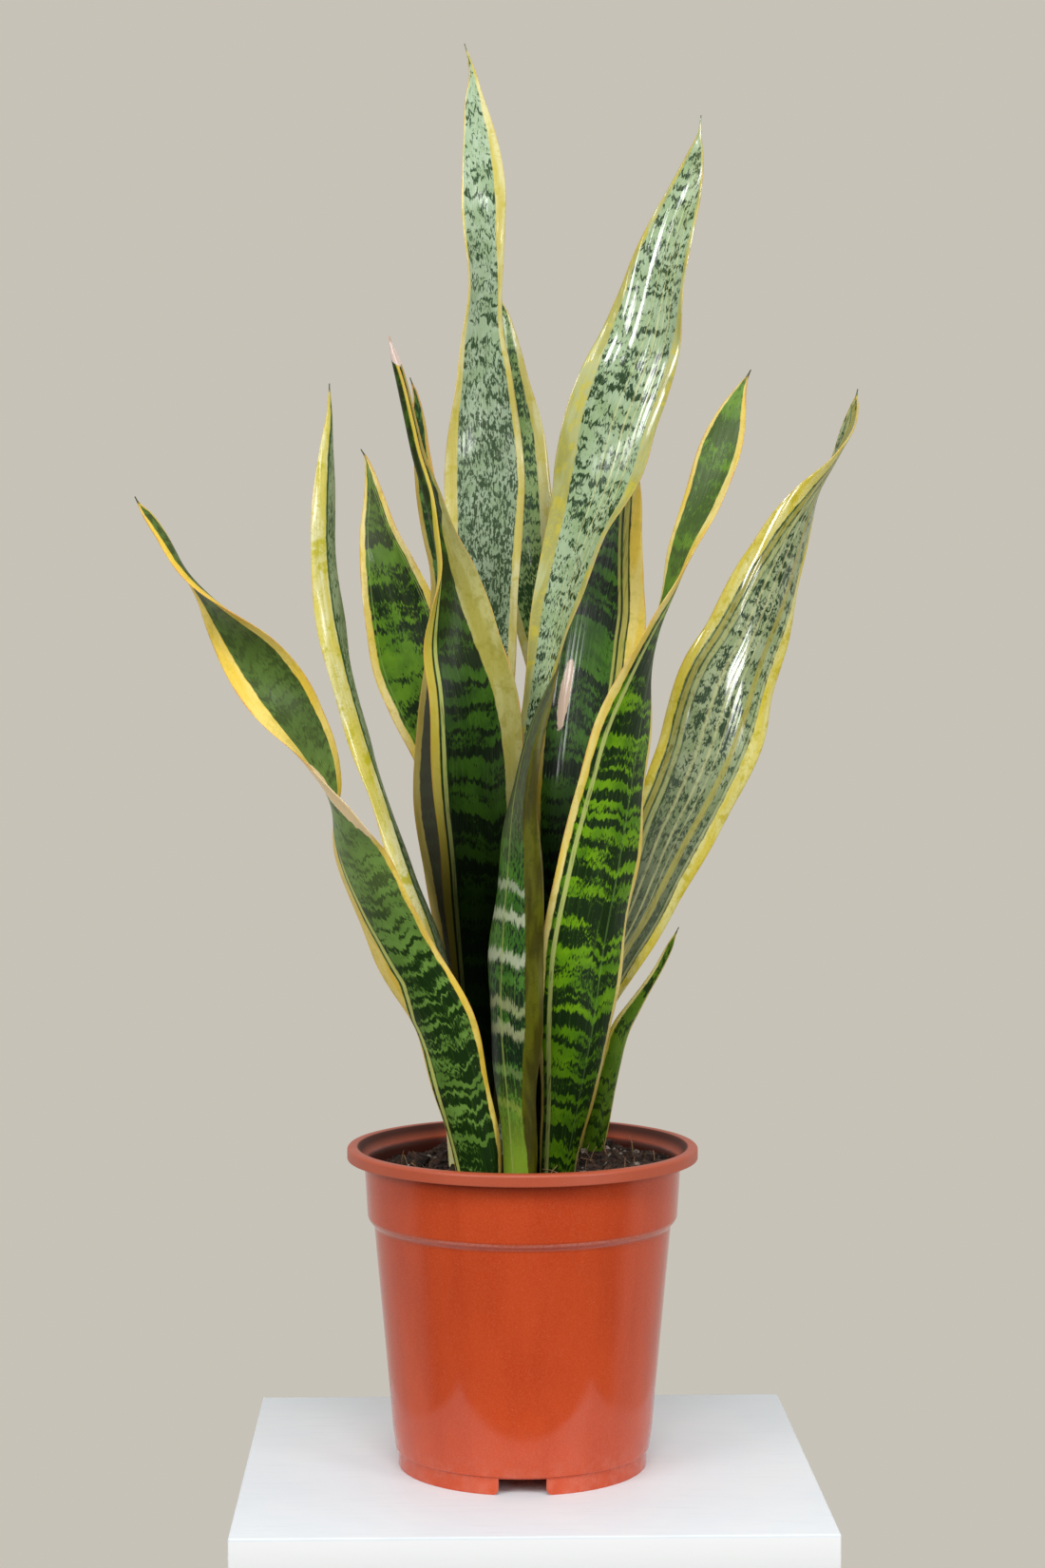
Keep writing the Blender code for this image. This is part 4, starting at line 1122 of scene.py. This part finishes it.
def pot_finish():
    """Terracotta coloured plastic with streaks, a rubbed shoulder with a painted highlight, dust, a dull
    rim and painted shade inside.
    """
    finish, surface, place = new_finish("terracotta_plastic_finish")
    x, y, z = split(place)
    squashed = stretched(place, (1.0, 1.0, 0.18))
    rim = step(z, (RIM_LOW - 0.7) * MM, (RIM_LOW + 0.1) * MM)
    above_collar = z - RIM_LOW * MM
    wall = calc("MAXIMUM", above_collar * WALL_FLARE, above_collar * RIM_FLARE) + INNER_RADIUS * MM
    depth = wall - calc("SQRT", x * x + y * y)
    # Where the inner wall shows above the soil; it is painted dark there as painted shade.
    painted_inner_shade = step(depth, -0.4 * MM, 0.6 * MM) * step(z, INNER_LOW * MM, (INNER_LOW + 2.0) * MM)
    mottle = step(noise(place, 22.0, 5.0, 0.65), 0.4, 0.75)
    grit = step(noise(place, 1100.0, 2.0, 0.7), 0.4, 0.7)
    # Patches of the pale line on the shoulder, partly rubbed and partly a painted highlight.
    rubbed_and_highlight = step(noise(place, 500.0, 3.0, 0.7), 0.4, 0.6, 0.4, 1.0)
    dusty = step(noise(place, 130.0, 5.0, 0.6), 0.4, 0.7)
    speck = step(noise(place, 1500.0, 1.0), 0.74, 0.78)
    colour = mix(step(noise(squashed, 60.0, 4.0), 0.35, 0.7), (198, 72, 30), (190, 66, 26))
    for share, paint in (
        (mottle * 0.3, (178, 60, 26)),
        (grit * 0.2, (222, 116, 78)),
        # The pale line on the shoulder: rubbed patches and a painted highlight.
        (rubbed_and_highlight * fall(abs(z - RUBBED_HIGHLIGHT_LINE * MM), 0.4 * MM, 1.2 * MM) * 0.4, (216, 142, 120)),
        (dusty * step(z, 4.0 * MM, DUST_TOP * MM, 0.16, 0.0), (222, 156, 134)),
        (rim * 0.6, (176, 90, 64)),
        (speck * 0.35, (228, 176, 152)),
        # Painted shade on the inner wall above the soil.
        (painted_inner_shade * 0.92, (66, 28, 20)),
    ):
        colour = mix(share, colour, paint)
    height = noise(squashed, 30.0) * 0.5 + noise(place, 1300.0) * 0.05
    fill(surface, {
        "Base Color": colour,
        "Roughness": step(noise(place, 60.0, 3.0), 0.3, 0.7, 0.1, 0.15) + rim * 0.3 + painted_inner_shade * 0.3,
        "Normal": bump(height, 0.2, 0.5 * MM),
    })
    return finish


pot.data.materials.clear()
pot.data.materials.append(pot_finish())
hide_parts("pot")
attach(pot, "root")
print("pot box:", [tuple(round(v, 4) for v in corner) for corner in (pot.bound_box[0], pot.bound_box[6])])

# %% [markdown]
# ## The soil
#
# Potting mix is a crumbly heap of dark peat with grey-white lumps and fine dead roots. One closed body
# fills the pot, and a tree roughens its top and strews crumbs over it. Points are scattered with a fixed
# seed, and each takes a small rough stone, turned and sized at random. Roots are short bent tubes.

# %% The soil's body and its tree
SOIL_TOP, SOIL_LUMP, SOIL_HEAP = 173.0, 2.6, 8.0
SOIL_SIDES, TOP_MARGIN = 144, 6.0
FULL_TURN = 6.283


def soil_height(x, y):
    """The height of the soil's lumpy top, which is that of the CAD soil with a heap on it."""
    lumps = math.sin(0.13 * x + 1.0) * math.cos(0.11 * y - 0.6)
    clods = math.sin(0.31 * x - 0.22 * y) + math.cos(0.27 * y + 0.19 * x + 2.0)
    heap = SOIL_HEAP * (0.7 + 0.3 * math.sin(0.03 * x + 0.02 * y))
    return SOIL_TOP + SOIL_LUMP * (0.55 * lumps + 0.28 * clods) + heap * min(1.0, math.hypot(x, y) / 40)


def soil_body():
    """The body that fills the pot, with fine rings on its top."""
    side = [
        (0.0, FLOOR + 2.3), (FOOT - 1.6, FLOOR + 2.3), (BODY_LOW - 3.3, BEND_LOW),
        (BODY_LOW - 2.3, BEND_HIGH), (BODY - 2.3, SHOULDER - 5.0),
        (COLLAR - 4.4, SHOULDER + 1.3), (COLLAR - 3.0, SOIL_TOP),
    ]
    rings = [(radius, SOIL_TOP) for radius in np.arange(90.0, 1.0, -2.0)]
    body = turned_mesh("soil_body", [*side, *rings, (0.0, SOIL_TOP)], SOIL_SIDES)
    for point in body.data.vertices:
        if point.co.z > (SOIL_TOP - 0.1) * MM:
            point.co.z = soil_height(point.co.x / MM, point.co.y / MM) * MM
    return body


def drawn(kind, low, high, seed, tree):
    """A random value for each point, between low and high."""
    first, output = {"FLOAT_VECTOR": (0, 0), "FLOAT": (2, 1)}[kind]
    inputs = {first: low, first + 1: high, "Seed": seed}
    return add("FunctionNodeRandomValue", inputs, output, tree, data_type=kind)


def strewn(ground, thing, density, seed, sizes, finish, chosen):
    """Copies of a thing scattered over the chosen part of the ground, turned and sized at random."""
    inputs = {"Mesh": ground, "Selection": chosen, "Density": density, "Seed": seed}
    points = add("GeometryNodeDistributePointsOnFaces", inputs, distribute_method="RANDOM")
    size = drawn("FLOAT", *sizes, seed + 1, ground.tree)
    spin = drawn("FLOAT_VECTOR", (0, 0, 0), (FULL_TURN,) * 3, seed + 2, ground.tree)
    turn = add("FunctionNodeEulerToRotation", {0: spin})
    inputs = {"Points": points, "Instance": thing, "Rotation": turn, "Scale": size}
    return painted(real(add("GeometryNodeInstanceOnPoints", inputs)), finish)


def roughened(geometry, scale, amount, **chosen):
    """Moves points by a cloud of noise, all of them or a selection."""
    spot = add("GeometryNodeInputPosition", {}, tree=geometry.tree)
    cloud = add("ShaderNodeTexNoise", {"Vector": spot, "Scale": scale, "Detail": 3.0}, 1)
    shift = add("ShaderNodeVectorMath", {0: cloud, 1: (0.5, 0.5, 0.5)}, operation="SUBTRACT")
    inputs = {"Geometry": geometry, "Offset": scaled(shift, amount), **chosen}
    return add("GeometryNodeSetPosition", inputs)


def soil_tree():
    """The tree that roughens the soil's top and strews crumbs, lumps, pale grains and roots over it."""
    tree, given = new_tree("potting_mix", {
        "Top": ("Float", (SOIL_TOP - TOP_MARGIN) * MM),
        "Lump Reach": ("Float", 0.085),
        "Root Reach": ("Float", 0.074),
        "Crumbs": ("Float", 60000.0),
        "Lumps": ("Float", 5500.0),
        "Grains": ("Float", 3600.0),
        "Roots": ("Float", 5200.0),
        "Peat": ("Material", None),
        "Grain": ("Material", None),
        "Root": ("Material", None),
    })
    x, y, z = split(add("GeometryNodeInputPosition", {}, tree=tree))
    radius = calc("SQRT", x * x + y * y)
    on_top = calc("GREATER_THAN", z, given["Top"])
    inside = on_top * calc("LESS_THAN", radius, given["Lump Reach"])
    well_in = on_top * calc("LESS_THAN", radius, given["Root Reach"])
    ground = painted(roughened(given["Geometry"], 160.0, 0.0055, Selection=on_top), given["Peat"])
    crumb = add("GeometryNodeMeshIcoSphere", {"Radius": 0.001, "Subdivisions": 1}, tree=tree)
    crumb = roughened(crumb, 700.0, 0.0014)
    bend = {"Start": (-0.011, 0.0, 0.0), "Middle": (0.0, 0.007, 0.003), "End": (0.011, 0.0, -0.001)}
    line = add("GeometryNodeCurveQuadraticBezier", {"Resolution": 7, **bend}, tree=tree)
    section = {"Resolution": 5, "Radius": 0.00022}
    ring = add("GeometryNodeCurvePrimitiveCircle", section, tree=tree, mode="RADIUS")
    root = add("GeometryNodeCurveToMesh", {0: line, 1: ring, "Fill Caps": True})
    join = tree.nodes.new("GeometryNodeJoinGeometry")
    for part in (
        ground,
        strewn(ground, crumb, given["Crumbs"], 3, (0.7, 1.8), given["Peat"], on_top),
        strewn(ground, crumb, given["Lumps"], 7, (2.0, 6.0), given["Peat"], inside),
        strewn(ground, crumb, given["Grains"], 11, (0.8, 3.0), given["Grain"], inside),
        strewn(ground, root, given["Roots"], 23, (0.4, 1.1), given["Root"], well_in),
    ):
        tree.links.new(part.socket, join.inputs[0])
    fill(tree.nodes.new("NodeGroupOutput"), {0: shaded(real(Value(join.outputs[0])), False)})
    return tree


MIX = soil_tree()
print("soil tree:", len(MIX.nodes), "nodes")

# %% [markdown]
# ## Peat, grains and roots
#
# Wet peat is nearly black-brown and quite dull. The grains are old perlite and bark, stained grey, and the
# dead roots are straw coloured.

# %% Filling the pot
def earthy_finish(name, dark, light, roughness, scale):
    """A dull mottled finish between two colours."""
    finish, surface, place = new_finish(name)
    fill(surface, {
        "Base Color": mix(step(noise(place, scale, 4.0, 0.65), 0.36, 0.66), dark, light),
        "Roughness": roughness,
        "Normal": bump(noise(place, scale * 4, 3.0), 0.6, 0.6 * MM),
    })
    return finish


soil = grow(soil_body(), MIX, "potting_soil", {
    "Peat": earthy_finish("peat_finish", (13, 8, 5), (72, 48, 35), 0.95, 240.0),
    "Grain": earthy_finish("grain_finish", (74, 62, 54), (164, 154, 142), 0.85, 300.0),
    "Root": earthy_finish("root_finish", (112, 84, 56), (160, 128, 92), 0.7, 300.0),
})
check_outwards(soil)
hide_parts("soil")
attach(soil, "root")
print("soil:", len(soil.data.polygons), "faces")

# %% [markdown]
# ## The board and the studio
#
# The pot stands on a small white board in front of a plain warm grey backdrop. The board is a slab with
# rounded edges, and its top shows faint brushed strokes. Its sides are painted whiter than its top, as
# painted light for the light on its front face. The backdrop is even and has no features, so the world's
# colour stands in for it. What the world lights the scene with is dimmer from the front than from behind.
# Two softboxes stand in front of the plant to its right and left, and a third hangs in front and above.
# They give the bright streaks on the pot and on the waxy leaves.

# %% The board and the world
BOARD_SIZE, BOARD_CENTRE, BOARD_HEIGHT, BOARD_TURN = (338.0, 311.0), (3.0, 2.5), 30.0, 1.5
BACKDROP, ROOM_LIGHT = (199, 194, 183), (199, 196, 190)
FRONT_LIGHT, BACK_LIGHT = 0.22, 1.0


def board_finish():
    """White laminate with faint brushed strokes on its top, and sides painted whiter as painted light."""
    finish, surface, place = new_finish("board_finish")
    strokes = noise(stretched(place, (0.06, 1.0, 0.4)), 300.0, 4.0, 0.7)
    colour = mix(step(noise(place, 9.0, 5.0, 0.6), 0.35, 0.7), (237, 246, 253), (243, 250, 255))
    colour = mix(step(strokes, 0.5, 0.75, 0.0, 0.25), colour, (212, 218, 228))
    # The sides below the top are painted whiter: painted light for the lit front face.
    colour = mix(fall(split(place)[2], -0.002, -0.001), colour, (253, 255, 255))
    fill(surface, {"Base Color": colour, "Roughness": 0.5, "Normal": bump(strokes, 0.25, 0.5 * MM)})
    return finish


shape = bmesh.new()
bmesh.ops.create_cube(shape, size=1.0)
bmesh.ops.scale(shape, verts=shape.verts, vec=Vector((*BOARD_SIZE, BOARD_HEIGHT)) * MM)
bmesh.ops.bevel(shape, geom=shape.edges[:], offset=1.0 * MM, segments=4, affect="EDGES", profile=0.5)
bmesh.ops.transform(shape, matrix=Matrix.Rotation(math.radians(BOARD_TURN), 4, "Z"), verts=shape.verts)
bmesh.ops.translate(shape, verts=shape.verts, vec=Vector((*BOARD_CENTRE, -BOARD_HEIGHT / 2)) * MM)
board = placed("board", mesh_of(shape, "board"))
smoothed(board.data, 40)
board.data.materials.append(board_finish())

world = bpy.data.worlds.new("studio")
bpy.context.scene.world = world
world.use_nodes = True
tree = world.node_tree
tree.nodes.clear()
seen = add("ShaderNodeBackground", {"Color": linear(*BACKDROP), "Strength": 1.0}, tree=tree)
away = split(add("ShaderNodeTexCoord", {}, "Generated", tree))[1]
glow = step(away, -0.25, 0.1, FRONT_LIGHT, BACK_LIGHT)
felt = add("ShaderNodeBackground", {"Color": linear(*ROOM_LIGHT), "Strength": glow})
direct = add("ShaderNodeLightPath", {}, "Is Camera Ray", tree)
both = add("ShaderNodeMixShader", {0: direct, 1: felt, 2: seen})
fill(tree.nodes.new("ShaderNodeOutputWorld"), {"Surface": both})
bpy.context.scene.view_settings.view_transform = "Standard"
print("board and world ready")

# %% [markdown]
# ## Lights and camera
#
# The camera stands where the photographer stood, 1.74 m in front of the pot and well above its rim, and
# it looks slightly down.

# %% Lights and camera
CAMERA_DISTANCE, CAMERA_HEIGHT, CAMERA_TILT = 1.74, 0.478, 2.3


def softbox(name, place, aim_height, size, watts):
    """A rectangular soft light at a place, aimed at a height on the pot's axis."""
    light = bpy.data.lights.new(name, "AREA")
    light.shape = "RECTANGLE"
    light.size, light.size_y, light.energy = *size, watts
    lamp = placed(name, light)
    lamp.location = place
    lamp.rotation_euler = (Vector((0, 0, aim_height)) - Vector(place)).to_track_quat("-Z", "Y").to_euler()


softbox("right_box", (1.4, -1.4, 0.75), aim_height=0.5, size=(0.6, 1.1), watts=16)
softbox("left_box", (-1.2, -1.5, 1.05), aim_height=0.6, size=(1.0, 0.9), watts=20)
softbox("front_box", (0.1, -1.65, 1.8), aim_height=0.2, size=(1.0, 0.8), watts=23)

lens = bpy.data.cameras.new("camera")
lens.lens, lens.sensor_width = 67.0, 36.0
camera = placed("camera", lens)
camera.location = (0.0, -CAMERA_DISTANCE, CAMERA_HEIGHT)
camera.rotation_euler = Euler((math.radians(90 - CAMERA_TILT), 0, 0))
bpy.context.scene.camera = camera
print("camera height:", CAMERA_HEIGHT, "m, lens:", lens.lens, "mm")
